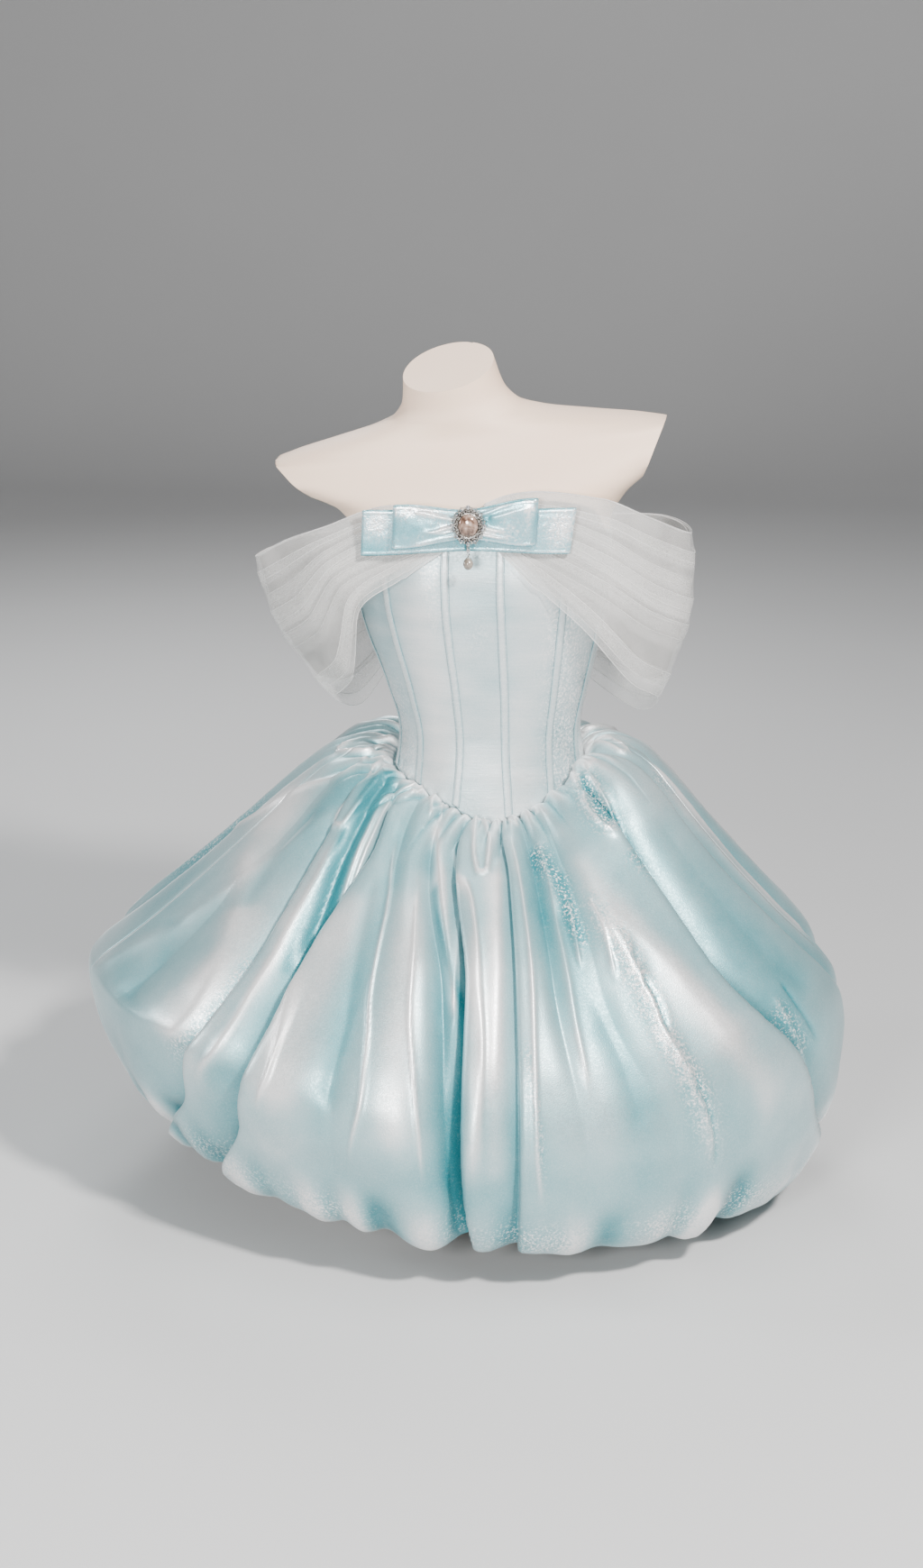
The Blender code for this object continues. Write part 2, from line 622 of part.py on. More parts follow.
def drape_point(table, along, across):
    """A point of a drape: along from bow to back, across from the top edge to the lower one."""
    def read(value):
        return smooth_reading(table, "along", value, along)

    top = Vector((read("top_x"), read("top_y"), read("top_z")))
    low = Vector((read("low_x"), read("low_y"), read("low_z")))
    point = top.lerp(low, across)
    resting = on_figure(point, DRAPE_REST)
    held = ease(1 - min(along, 1 - along) / DRAPE_HOLD)
    point = point.lerp(resting, held)
    middle = Vector((BUST.middle_x, 0, point.z))
    if (point - middle).xy.length < (resting - middle).xy.length:
        point = resting
    out = Vector((point.x - middle.x, point.y, 0)).normalized()
    bulge = sin(pi * across) * read("bulge")
    size = min(DRAPE_PLEAT_LIMIT, DRAPE_PLEAT_SHARE * (top - low).length / DRAPE_PLEATS)
    fade = 0.15 + 0.85 * cos(pi * along) ** 2
    pleat = size * fade * (0.5 - 0.5 * cos(2 * pi * DRAPE_PLEATS * across))
    return point + out * (bulge + pleat)


def build_drape(name, table, tulle, collection):
    """One off-shoulder drape."""
    rows = []
    for along in spread(0.0, 1.0, DRAPE_ROWS):
        rows.append([drape_point(table, along, across) for across in spread(0, 1, DRAPE_COLUMNS)])
    return cloth(name, rows, TULLE_WALL, tulle, collection)


# Bow

def loop_path(row):
    """The bow loop seen from above: out along the back, round the fold and back along the front."""
    side = 1 if row.reach > 0 else -1
    fold = row.gap / 2
    back_y = row.front_y + row.gap
    straight = abs(row.reach) - fold
    start = row.start
    path = [(side * x, back_y) for x in spread(start, straight, BOW_COLUMNS)]
    for turn in (pi / 4, pi / 2, 3 * pi / 4):
        path.append((side * (straight + fold * sin(turn)), row.front_y + fold + fold * cos(turn)))
    path += [(side * x, row.front_y) for x in reversed(spread(start, straight, BOW_COLUMNS))]
    return path


def build_loop(row, satin, collection):
    """One bow loop, pinched towards the knot."""
    turn = Matrix.Rotation(-radians(row.tilt), 3, "Y")
    middle = Vector((row.middle_x, 0, row.middle_z))
    rows = []
    for x, y in loop_path(row):
        out = ease(abs(x / row.reach) * LOOP_FILL)
        height = row.pinch + (row.height - row.pinch) * out
        line = []
        for across in spread(0, 1, BOW_ROWS):
            ripple = BOW_RIPPLE * sin(2 * pi * BOW_WAVES * across) * (1 - out)
            line.append(turn @ Vector((x, y + ripple, height * (across - 0.5))) + middle)
        rows.append(line if row.reach > 0 else line[::-1])
    cloth(row.name, rows, RIBBON_WALL, satin, collection)


def build_bow(satin, collection):
    """Two wide under loops, two upper loops and the knot."""
    for row in LOOPS:
        build_loop(row, satin, collection)
    bpy.ops.mesh.primitive_cube_add(size=1.0)
    knot = bpy.context.active_object
    knot.name = "bow_knot"
    knot.scale = KNOT_SIZE
    bpy.ops.object.transform_apply(location=False, rotation=False, scale=True)
    knot.location = KNOT_MIDDLE
    bevel = knot.modifiers.new("Round", "BEVEL")
    bevel.width = KNOT_BEVEL
    bevel.segments = 2
    knot.data.materials.append(satin)
    move_to(knot, collection)


def move_to(thing, collection):
    """Put an object in the part's collection only."""
    for other in list(thing.users_collection):
        other.objects.unlink(thing)
    collection.objects.link(thing)
    thing.data.shade_smooth()
    thing.data.set_sharp_from_angle(angle=radians(35))


# Brooch, link, pearl and zip

def ring(middle, major, minor, turn_axis):
    """A small wire ring; turn_axis is the axis that its plane faces."""
    bpy.ops.mesh.primitive_torus_add(major_radius=major, minor_radius=minor, major_segments=12,
                                     minor_segments=6, location=(0, 0, 0))
    thing = bpy.context.active_object
    turn = {"X": Matrix.Rotation(pi / 2, 4, "Y"), "Y": Matrix.Rotation(pi / 2, 4, "X")}[turn_axis]
    thing.data.transform(turn)
    thing.data.transform(Matrix.Translation(middle))
    return thing


def oval_ball(middle, size, segments=16, rings=10):
    """A ball stretched to a size."""
    bpy.ops.mesh.primitive_uv_sphere_add(segments=segments, ring_count=rings, radius=0.5)
    thing = bpy.context.active_object
    thing.data.transform(Matrix.Diagonal((*size, 1.0)))
    thing.data.transform(Matrix.Translation(middle))
    return thing


def set_origin(thing, pivot):
    """Place an object's origin at a point without moving its shape."""
    thing.data.transform(Matrix.Translation(-pivot))
    thing.location = pivot


def finish(thing, name, material, collection):
    """Name a built piece and put it in the collection with its material."""
    thing.name = name
    thing.data.name = name
    thing.data.materials.clear()
    thing.data.materials.append(material)
    move_to(thing, collection)


def build_brooch(silver, stone_material, collection):
    """The oval frame with its lower ring, and the domed stone."""
    bpy.ops.mesh.primitive_cylinder_add(vertices=24, radius=0.5, depth=1.0)
    frame = bpy.context.active_object
    frame.data.transform(Matrix.Rotation(pi / 2, 4, "X"))
    frame.data.transform(Matrix.Diagonal((BROOCH_WIDTH, BROOCH_THICKNESS, BROOCH_HEIGHT, 1.0)))
    frame.data.transform(Matrix.Translation(BROOCH_MIDDLE))
    bevel = frame.modifiers.new("Round", "BEVEL")
    bevel.width = BROOCH_BEVEL
    bevel.segments = 2
    bevel.limit_method = "ANGLE"
    apply_modifiers(frame)
    top_ring = brooch_ring_middle()
    unite(frame, [ring(top_ring, RING_MAJOR, RING_MINOR, "X")])
    finish(frame, "brooch_frame", silver, collection)

    face = BROOCH_MIDDLE.y - BROOCH_THICKNESS / 2 - SEAM_GAP
    stone = oval_ball(Vector((0, 0, 0)), (STONE_WIDTH, 2 * STONE_RISE, STONE_HEIGHT), 20, 12)
    bm = bmesh.new()
    bm.from_mesh(stone.data)
    everything = bm.verts[:] + bm.edges[:] + bm.faces[:]
    cut = bmesh.ops.bisect_plane(bm, geom=everything, plane_co=(0, -STONE_CUT, 0), plane_no=(0, 1, 0),
                                 clear_outer=True)
    rim = [part for part in cut["geom_cut"] if isinstance(part, bmesh.types.BMEdge)]
    bmesh.ops.contextual_create(bm, geom=rim)
    bm.to_mesh(stone.data)
    bm.free()
    stone.data.transform(Matrix.Translation(Vector((BROOCH_MIDDLE.x, face + STONE_CUT, BROOCH_MIDDLE.z))))
    finish(stone, "brooch_stone", stone_material, collection)


def brooch_ring_middle():
    """The middle of the ring under the brooch."""
    return BROOCH_MIDDLE + Vector((0, -RING_FORWARD, -BROOCH_HEIGHT / 2 - RING_MAJOR + RING_SINK))


def build_drop(silver, crystal, pearl_material, collection):
    """The crystal link and the pearl, each hanging in the ring above it."""
    ring_a = brooch_ring_middle()
    ring_b = ring_a - Vector((0, 0, RING_STEP))
    bead = ring_b - Vector((0, 0, RING_MAJOR + LINK_BEAD_RADIUS))
    ring_c = bead - Vector((0, 0, LINK_BEAD_RADIUS + RING_MAJOR))
    link = oval_ball(bead, (2 * LINK_BEAD_RADIUS,) * 3, 12, 8)
    unite(link, [ring(ring_b, RING_MAJOR, RING_MINOR, "Y"), ring(ring_c, RING_MAJOR, RING_MINOR, "Y")])
    finish(link, "drop_link", crystal, collection)
    set_origin(link, ring_a - Vector((0, 0, RING_MAJOR)))

    ring_d = ring_c - Vector((0, 0, RING_STEP))
    middle = ring_d - Vector((0, 0, RING_MAJOR + PEARL_HEIGHT / 2))
    pearl = oval_ball(middle, (PEARL_WIDTH, PEARL_WIDTH, PEARL_HEIGHT))
    unite(pearl, [ring(ring_d, RING_MAJOR, RING_MINOR, "X")])
    finish(pearl, "drop_pearl", pearl_material, collection)
    set_origin(pearl, ring_c - Vector((0, 0, RING_MAJOR)))


def build_zip(satin, silver, collection):
    """The covered strip, the slider with its bridge, and the pull that hangs from it."""
    build_strip("back_zip_strip", lambda t: pi, ZIP_WIDTH, ZIP_WALL, satin, collection)
    top = neckline(pi) - SLIDER_DROP
    face = figure_point(top, pi, CHANNEL_OUT + ZIP_WALL + SEAM_GAP)
    width, depth, height = SLIDER_SIZE
    bpy.ops.mesh.primitive_cube_add(size=1.0)
    slider = bpy.context.active_object
    slider.data.transform(Matrix.Diagonal((width, depth, height, 1.0)))
    slider.data.transform(Matrix.Translation(face + Vector((0, depth / 2 + SLIDER_LIFT, 0))))
    bevel = slider.modifiers.new("Round", "BEVEL")
    bevel.width = SLIDER_BEVEL
    bevel.segments = 2
    apply_modifiers(slider)
    pivot = face + Vector((0, depth + SLIDER_LIFT + SLIDER_RING_OUT, 0))
    unite(slider, [ring(pivot, SLIDER_RING_MAJOR, PULL_RING_MINOR, "X")])
    finish(slider, "zip_slider", silver, collection)

    pull_ring = pivot - Vector((0, 0, PULL_RING_MAJOR))
    bpy.ops.mesh.primitive_cylinder_add(vertices=16, radius=0.5, depth=1.0)
    pull = bpy.context.active_object
    pull.data.transform(Matrix.Rotation(pi / 2, 4, "X"))
    pull.data.transform(Matrix.Diagonal((PULL_WIDTH, PULL_WALL, PULL_LENGTH, 1.0)))
    drop = PULL_RING_MAJOR + PULL_LENGTH / 2 - PULL_SINK
    pull.data.transform(Matrix.Translation(pull_ring - Vector((0, 0, drop))))
    unite(pull, [ring(pull_ring, PULL_RING_MAJOR, PULL_RING_MINOR, "Y")])
    finish(pull, "zip_pull", silver, collection)
    set_origin(pull, pivot)


def main():
    """Build the dress and its form."""
    collection = start_clean()
    form_material = make_material("form_cream", (0.84, 0.77, 0.70), 0.55)
    satin = make_material("ice_blue_satin", (0.56, 0.71, 0.74), 0.32)
    tulle = make_material("white_tulle", (0.80, 0.82, 0.82), 0.60)
    silver = make_material("silver", (0.75, 0.75, 0.76), 0.28, 1.0)
    stone = make_material("rose_stone", (0.52, 0.40, 0.34), 0.12)
    crystal = make_material("crystal", (0.85, 0.86, 0.88), 0.08)
    pearl = make_material("pearl", (0.88, 0.85, 0.82), 0.22)
    build_form(form_material, collection)
    build_bodice(satin, collection)
    build_skirt(satin, collection)
    build_drape("drape_right", DRAPE_RIGHT, tulle, collection)
    build_drape("drape_left", DRAPE_LEFT, tulle, collection)
    build_bow(satin, collection)
    build_brooch(silver, stone, collection)
    build_drop(silver, crystal, pearl, collection)
    build_zip(satin, silver, collection)


main()
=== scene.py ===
"""Corset mini dress on a limbless dress form: the pieces that show, and their finishes.

Metres, +Z up, the front faces -Y. Left and right are as seen from the front: left is -X.
"""

from collections import namedtuple
from math import cos, pi, radians, sin
from random import Random

import bmesh
import bpy
import numpy as np
from mathutils import Matrix, Vector, noise


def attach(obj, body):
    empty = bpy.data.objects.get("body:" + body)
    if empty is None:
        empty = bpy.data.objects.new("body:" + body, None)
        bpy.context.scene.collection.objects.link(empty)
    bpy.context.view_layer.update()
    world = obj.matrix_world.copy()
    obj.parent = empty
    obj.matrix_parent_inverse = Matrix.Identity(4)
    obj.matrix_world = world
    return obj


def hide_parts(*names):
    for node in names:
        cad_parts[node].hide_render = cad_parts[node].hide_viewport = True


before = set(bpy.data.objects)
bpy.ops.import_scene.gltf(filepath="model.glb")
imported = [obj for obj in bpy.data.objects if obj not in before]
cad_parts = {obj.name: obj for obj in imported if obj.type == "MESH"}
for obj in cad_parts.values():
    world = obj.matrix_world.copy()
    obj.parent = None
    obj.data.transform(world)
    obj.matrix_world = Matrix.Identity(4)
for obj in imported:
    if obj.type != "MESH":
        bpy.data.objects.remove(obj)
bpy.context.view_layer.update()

SEAM_GAP = 0.0003
STRIP_GAP = 0.0006
BODICE_EASE = 0.0024
BODICE_WALL = 0.0015
CHANNEL_WIDTH = 0.010
CHANNEL_OUT = BODICE_EASE + BODICE_WALL + STRIP_GAP
CHANNEL_WALL = 0.0010
SKIRT_WALL = 0.0009
TULLE_WALL = 0.0003
RIBBON_WALL = 0.0010

# The figure that the dress is cut for, one row for each level
FigureRow = namedtuple("FigureRow", "height width front back middle_x middle_y tilt lean squareness")
FIGURE = [
    FigureRow(0.000, 0.128, 0.092, 0.098, 0.018, 0.006, 0.000, 0.00, 2.4),
    FigureRow(0.240, 0.160, 0.108, 0.124, 0.020, 0.006, 0.000, 0.00, 2.4),
    FigureRow(0.340, 0.166, 0.108, 0.130, 0.022, 0.006, 0.000, 0.00, 2.3),
    FigureRow(0.420, 0.160, 0.104, 0.122, 0.028, 0.004, 0.000, 0.00, 2.3),
    FigureRow(0.480, 0.139, 0.098, 0.106, 0.035, 0.002, 0.000, 0.00, 2.3),
    FigureRow(0.530, 0.1165, 0.0915, 0.090, 0.036, 0.000, 0.000, 0.00, 2.3),
    FigureRow(0.590, 0.1065, 0.086, 0.078, 0.0355, 0.000, 0.000, 0.00, 2.3),
    FigureRow(0.650, 0.1200, 0.092, 0.083, 0.0330, 0.000, 0.002, 0.00, 2.3),
    FigureRow(0.720, 0.1405, 0.100, 0.091, 0.0280, 0.000, 0.012, 0.00, 2.35),
    FigureRow(0.760, 0.148, 0.103, 0.095, 0.0260, 0.000, 0.022, 0.00, 2.4),
    FigureRow(0.800, 0.151, 0.103, 0.098, 0.0250, 0.001, 0.035, 0.00, 2.5),
    FigureRow(0.840, 0.154, 0.100, 0.099, 0.0250, 0.002, 0.050, 0.00, 2.6),
    FigureRow(0.870, 0.172, 0.095, 0.097, 0.0250, 0.004, 0.072, 0.00, 2.8),
    FigureRow(0.895, 0.212, 0.086, 0.092, 0.0210, 0.008, 0.098, 0.00, 2.9),
    FigureRow(0.917, 0.248, 0.073, 0.082, 0.0150, 0.012, 0.115, 0.00, 2.9),
    FigureRow(0.934, 0.248, 0.065, 0.072, 0.0100, 0.014, 0.122, 0.02, 2.7),
    FigureRow(0.945, 0.216, 0.060, 0.064, 0.0070, 0.014, 0.124, 0.03, 2.4),
    FigureRow(0.955, 0.164, 0.057, 0.060, 0.0030, 0.012, 0.124, 0.05, 2.2),
    FigureRow(0.965, 0.110, 0.056, 0.058, -0.002, 0.009, 0.126, 0.08, 2.1),
    FigureRow(0.977, 0.076, 0.055, 0.056, -0.006, 0.005, 0.132, 0.13, 2.0),
    FigureRow(0.996, 0.0605, 0.053, 0.055, -0.010, 0.000, 0.150, 0.23, 2.0),
    FigureRow(1.028, 0.0535, 0.052, 0.053, -0.0143, -0.012, 0.165, 0.40, 2.0),
]
WAIST = FIGURE[6]
BUST = FIGURE[10]
SHOULDER_CUT_HALF_WIDTH = 0.234
SHOULDER_CUT_HEIGHT = 0.940
SHOULDER_CUT_SLOPE = 0.735
ARMPIT_HALF_WIDTH = 0.170
BUST_HEIGHT = 0.785
BUST_SPACING = 0.066
BUST_RISE = 0.007
BUST_WIDTH = 0.040
BUST_TALLNESS = 0.045

# The bodice's edges by the angle from the front, and its seams on the right half
EDGE_ANGLES = (0, 10, 20, 32, 45, 60, 90, 140, 180)
NECKLINE = (0.868, 0.868, 0.867, 0.864, 0.858, 0.848, 0.828, 0.808, 0.802)
WAISTLINE = (0.492, 0.495, 0.502, 0.512, 0.522, 0.535, 0.546, 0.551, 0.552)
FRONT_POINT_TURN = radians(8)
SeamRow = namedtuple("SeamRow", "name neckline waist waistline")
SEAMS = [
    SeamRow("front", 18, 17.5, 19),
    SeamRow("side_front", 52, 49, 47),
    SeamRow("side", 77, 75, 72),
    SeamRow("side_back", 118, 118, 116),
]
PANELS = ["centre_front", "front", "side_front", "side_back", "back"]

# The skirt's section from the waist seam to the turned-in edge: how far along, how far out, and the height
# at the sides and at the front
SECTION = np.array([
    (0.000, 0.000, 0.5455, 0.5455),
    (0.012, 0.012, 0.5455, 0.5455),
    (0.050, 0.050, 0.5570, 0.543),
    (0.100, 0.100, 0.5620, 0.533),
    (0.170, 0.190, 0.553, 0.506),
    (0.250, 0.300, 0.521, 0.471),
    (0.350, 0.440, 0.471, 0.440),
    (0.450, 0.580, 0.421, 0.405),
    (0.550, 0.710, 0.376, 0.362),
    (0.650, 0.830, 0.334, 0.310),
    (0.730, 0.920, 0.299, 0.262),
    (0.800, 0.980, 0.262, 0.215),
    (0.850, 1.000, 0.215, 0.172),
    (0.890, 0.985, 0.150, 0.130),
    (0.920, 0.950, 0.108, 0.095),
    (0.945, 0.900, 0.076, 0.068),
    (0.965, 0.840, 0.056, 0.056),
    (0.980, 0.790, 0.060, 0.060),
    (1.000, 0.740, 0.085, 0.085),
]).T
SKIRT_MIDDLE_X = -0.012
SKIRT_HALF_WIDTH = 0.480
SKIRT_HALF_DEPTH = 0.405
SEAM_LEVEL = 0.547
FRONT_DROP = 0.050
SEAM_INSET = 0.0012
WAIST_REACH = 0.35
HEM_ARC = 0.80
SEAM_BAND = 0.012
FOLD_START = 0.07
FOLD_REACH = 14.0
FOLD_OVERLAP = 0.42
CRISP_FLANK = 0.75
FLANK_START = 0.25
WAIST_WIDENING = 1.5
LEAST_WIDENING = 1.15
WIDENING_LOSS = 0.7
DEPTH_LEVELS = (0.0, 0.22, 0.55, 0.87, 1.0)
TUCK_START = 0.70
TUCK_LENGTH = 0.22
TUCK_MIDDLE_X = 0.03
SKIRT_LENGTH = 0.72

# How the painted shade and highlight in the satin's colour follow the folds and creases: painted shade in
# troughs, grooves, under the hem and below the waist seam, painted highlight on ridges
RELIEF_TONE = 0.0095
BROAD_CREASE = 0.012
BROAD_TONE_CUT = 0.65
PLAIN_TONE = 0.59
TROUGH_SHADE = 0.060
GLINT_TONE = 0.36
HEM_UNDER_SHADE = 0.35
SEAM_SHADE = 0.30

# The cloth's own waves and its crushed places, in metres, and the painted glints along the hem's rim
LONG_WAVE = 0.0026
SHORT_WAVE = 0.0009
CRUSHED_HEIGHT = 0.0030
GRAIN_HEIGHT = 0.00025
RIM_GLINT = 0.8
RIM_ARC = 0.935

# The skirt's mesh: its levels as (first, last, count), its columns, how much closer they lie over the
# folds, and the radius that angles are turned into metres with
SKIRT_ARCS = [(0, 0.05, 9), (0.05, 0.30, 30), (0.30, 0.86, 46), (0.86, 1.0, 24)]
FRONT_COLUMNS = 430
BACK_COLUMNS = 240
FOLD_CROWDING = 2.2
CREASE_CROWDING = 1.2
SEAM_RADIUS = 0.115
RADIUS_GAIN = 0.33

# The large folds: each trough's angle at five levels, its depths, half width, tuck and puff,
# and how many times wider than that its left and right slopes are
FoldRow = namedtuple("FoldRow", ["seam", "upper", "middle", "hem", "edge", "gather", "depth", "hem_depth",
                                 "width", "tuck", "puff", "left", "right"])
FOLD_LEVELS = (0.0, 0.30, 0.55, 0.87, 0.945)
FOLDS = [
    FoldRow(-171, -171, -170, -171, -171, 0.010, 0.028, 0.032, 3.0, 0.000, 0.010, 1.5, 0.5),
    FoldRow(-157, -156, -158, -155, -155, 0.014, 0.036, 0.038, 3.4, 0.008, 0.010, 0.3, 1.4),
    FoldRow(-142, -141, -139, -142, -142, 0.010, 0.022, 0.024, 3.0, 0.004, 0.010, 1.3, 1.0),
    FoldRow(-128, -126, -127, -124, -124, 0.014, 0.038, 0.040, 3.4, 0.012, 0.010, 1.5, 0.24),
    FoldRow(-112, -108, -106, -108, -110, 0.010, 0.024, 0.028, 3.0, 0.010, 0.010, 0.8, 1.2),
    FoldRow(-98, -90, -90, -98, -102, 0.012, 0.024, 0.020, 3.4, 0.030, -0.002, 1.2, 0.6),
    FoldRow(-86, -65, -61, -68, -80, 0.009, 0.008, 0.003, 4.0, 0.040, -0.006, 1.5, 1.5),
    FoldRow(-74, -46, -40, -46, -60, 0.014, 0.026, 0.022, 3.0, 0.040, -0.006, 1.5, 0.24),
    FoldRow(-55, -28.5, -27.4, -32, -42, 0.020, 0.044, 0.034, 3.4, 0.030, 0.004, 1.4, 0.24),
    FoldRow(-38, -21, -14, -14, -15, 0.010, 0.006, 0.003, 2.4, 0.022, 0.008, 1.6, 1.6),
    FoldRow(-24, -9, 2, 6, 7, 0.017, 0.022, 0.008, 2.4, 0.008, 0.010, 1.2, 0.9),
    FoldRow(-11, 1.2, 8.4, 9.8, 10.5, 0.015, 0.030, 0.042, 3.0, 0.000, 0.010, 1.3, 0.22),
    FoldRow(10, 17, 17.5, 17.5, 17.5, 0.012, 0.014, 0.016, 2.4, 0.000, 0.010, 1.4, 0.30),
    FoldRow(24, 25, 25, 28, 28, 0.018, 0.011, 0.003, 2.4, 0.000, 0.012, 0.8, 1.6),
    FoldRow(37, 34, 34, 43, 46, 0.010, 0.004, 0.004, 3.0, 0.000, 0.014, 1.2, 1.2),
    FoldRow(55, 53.5, 55.5, 70, 84, 0.015, 0.034, 0.034, 3.0, 0.000, 0.018, 0.24, 1.9),
    FoldRow(77, 75, 78.5, 90, 98, 0.014, 0.028, 0.026, 3.0, 0.006, 0.018, 0.24, 1.3),
    FoldRow(96, 91, 93, 105, 110, 0.011, 0.024, 0.026, 3.0, 0.008, 0.016, 1.2, 0.8),
    FoldRow(112, 110, 110, 119, 120, 0.014, 0.037, 0.039, 3.4, 0.012, 0.010, 0.24, 1.4),
    FoldRow(126, 125, 127, 131, 131, 0.010, 0.022, 0.024, 3.0, 0.004, 0.010, 1.4, 0.9),
    FoldRow(141, 141, 143, 143, 143, 0.014, 0.036, 0.038, 3.4, 0.010, 0.010, 1.4, 0.3),
    FoldRow(156, 157, 156, 158, 158, 0.010, 0.025, 0.028, 3.0, 0.004, 0.010, 1.0, 1.3),
    FoldRow(171, 171, 171, 171, 171, 0.010, 0.028, 0.030, 3.0, 0.000, 0.010, 0.3, 1.5),
]
LEFT_SEAM_FOLD = 5
RIGHT_SEAM_FOLD = 16
BACK_SEAM_FOLD = 22

# Creases drawn on the skirt as (angle, arc) points, with a height and a half width in metres;
# a negative height is a groove
Crease = namedtuple("Crease", "height width points")
CREASES = [
    Crease(-0.0110, 0.0080, [(-55, .06), (-48, .14), (-42, .22), (-38, .31), (-34, .42), (-31.5, .54)]),
    Crease(0.0050, 0.0050, [(-44, .10), (-38, .18), (-33, .28), (-29.5, .40), (-27.5, .54), (-27.5, .70)]),
    Crease(0.0046, 0.0030, [(-43, .14), (-37, .24), (-32, .36), (-28, .48), (-26, .62), (-26, .74),
                            (-28, .84)]),
    Crease(0.0038, 0.0026, [(-28, .20), (-16, .40), (-12, .58), (-10, .66), (-9, .76), (-11, .87)]),
    Crease(-0.0040, 0.0150, [(-26, .30), (-18, .50), (-15, .66), (-15, .80)]),
    Crease(0.0034, 0.0026, [(-12, .30), (-6, .46), (-3, .62), (-1, .70), (1, .80), (2, .88)]),
    Crease(0.0060, 0.0070, [(-20, .10), (-12, .20), (-5, .30), (1, .44), (4, .54), (6, .62)]),
    Crease(0.0044, 0.0030, [(-6, .18), (0, .27), (6, .36), (9, .48), (10, .56), (11, .68), (11, .80),
                            (11, .90)]),
    Crease(0.0040, 0.0030, [(18, .14), (20, .36), (20.5, .52), (20, .70), (20, .82), (21, .90)]),
    Crease(0.0026, 0.0100, [(14, .20), (13, .36), (13.5, .55), (13, .75)]),
    Crease(0.0030, 0.0030, [(32, .36), (31.5, .44), (31, .52)]),
    Crease(0.0030, 0.0030, [(37, .38), (37.5, .46), (37, .56)]),
    Crease(0.0035, 0.0050, [(29, .16), (28.5, .30), (28, .44), (28, .60), (29, .76)]),
    Crease(-0.0045, 0.0260, [(28, .34), (31, .54), (35, .70), (37, .84)]),
    Crease(0.0050, 0.0300, [(37, .24), (40, .40), (47, .54), (51, .66), (55, .78)]),
    Crease(0.0055, 0.0100, [(38, .40), (40, .50), (42, .60), (43, .68), (45, .75), (47, .82), (50, .90)]),
    Crease(-0.0040, 0.0036, [(42, .56), (43.2, .62), (43.6, .68)]),
    Crease(-0.0040, 0.0036, [(46, .76), (47.6, .82), (49.4, .885)]),
    Crease(0.0050, 0.0042, [(60, .05), (54, .12), (49, .20), (52, .28)]),
    Crease(0.0044, 0.0035, [(64, .07), (58, .15), (55, .24), (54, .28)]),
    Crease(-0.0034, 0.0060, [(58, .10), (53, .18), (53, .25)]),
    Crease(-0.0040, 0.0300, [(66, .26), (68, .44), (70, .60), (76, .74)]),
    Crease(0.0044, 0.0050, [(84, .18), (86, .30), (88, .44), (90, .58), (94, .70)]),
    Crease(0.0030, 0.0032, [(67, .70), (68, .76), (70, .82), (72, .86)]),
    Crease(-0.0026, 0.0032, [(70, .68), (71, .75), (73.5, .82)]),
    Crease(0.0055, 0.0080, [(-45, .26), (-40, .36), (-38, .46), (-36.5, .56), (-36.5, .66),
                            (-38, .76), (-42, .86)]),
    Crease(0.0070, 0.0220, [(-72, .36), (-56, .45), (-48, .56), (-46, .68), (-49, .80)]),
    Crease(0.0040, 0.0160, [(-52, .20), (-56, .30), (-62, .42), (-66, .54), (-72, .66), (-78, .78)]),
    Crease(-0.0050, 0.0180, [(-62, .24), (-60, .34), (-56, .42), (-52, .48)]),
    Crease(-0.0040, 0.0240, [(-70, .54), (-62, .64), (-62, .76)]),
    Crease(0.0036, 0.0045, [(-86, .06), (-69, .16), (-77, .26), (-84, .36), (-90, .42)]),
    Crease(0.0030, 0.0050, [(2, .30), (4, .46), (5, .60)]),
    Crease(0.0036, 0.0040, [(101, .14), (104, .28), (107, .44), (110, .60), (111, .76)]),
    Crease(0.0044, 0.0042, [(118, .10), (117, .24), (116, .40), (118, .58), (121, .74), (122, .86)]),
    Crease(-0.0036, 0.0080, [(121, .20), (120, .36), (122, .54), (124, .70)]),
    Crease(0.0034, 0.0036, [(132, .14), (133, .30), (135, .46), (136, .62), (135, .78)]),
    Crease(0.0046, 0.0050, [(149, .09), (148, .26), (149, .44), (151, .62), (150, .80), (149, .90)]),
    Crease(0.0030, 0.0034, [(145, .30), (146.5, .42), (147, .54)]),
    Crease(0.0036, 0.0040, [(164, .12), (164, .30), (162, .48), (164, .66), (165, .84)]),
    Crease(0.0040, 0.0060, [(-178, .14), (-179, .34), (-178, .54), (-179, .74)]),
    Crease(0.0036, 0.0040, [(-164, .10), (-163, .26), (-165, .44), (-163, .62), (-162, .80)]),
    Crease(-0.0034, 0.0070, [(-166, .24), (-167, .42), (-166, .60)]),
    Crease(0.0046, 0.0046, [(-150, .08), (-149, .24), (-147, .42), (-149, .60), (-149, .78), (-148, .90)]),
    Crease(0.0030, 0.0034, [(-146, .34), (-144, .46), (-144, .58)]),
    Crease(0.0038, 0.0040, [(-134, .12), (-133, .28), (-134, .46), (-132, .64), (-131, .82)]),
    Crease(0.0040, 0.0046, [(-118, .10), (-115, .26), (-113, .42), (-114, .60), (-115, .78)]),
    Crease(-0.0036, 0.0080, [(-120, .22), (-118, .38), (-117, .56), (-118, .72)]),
    Crease(0.0032, 0.0036, [(-103, .16), (-99, .30), (-97, .46), (-98, .62), (-100, .76)]),
]

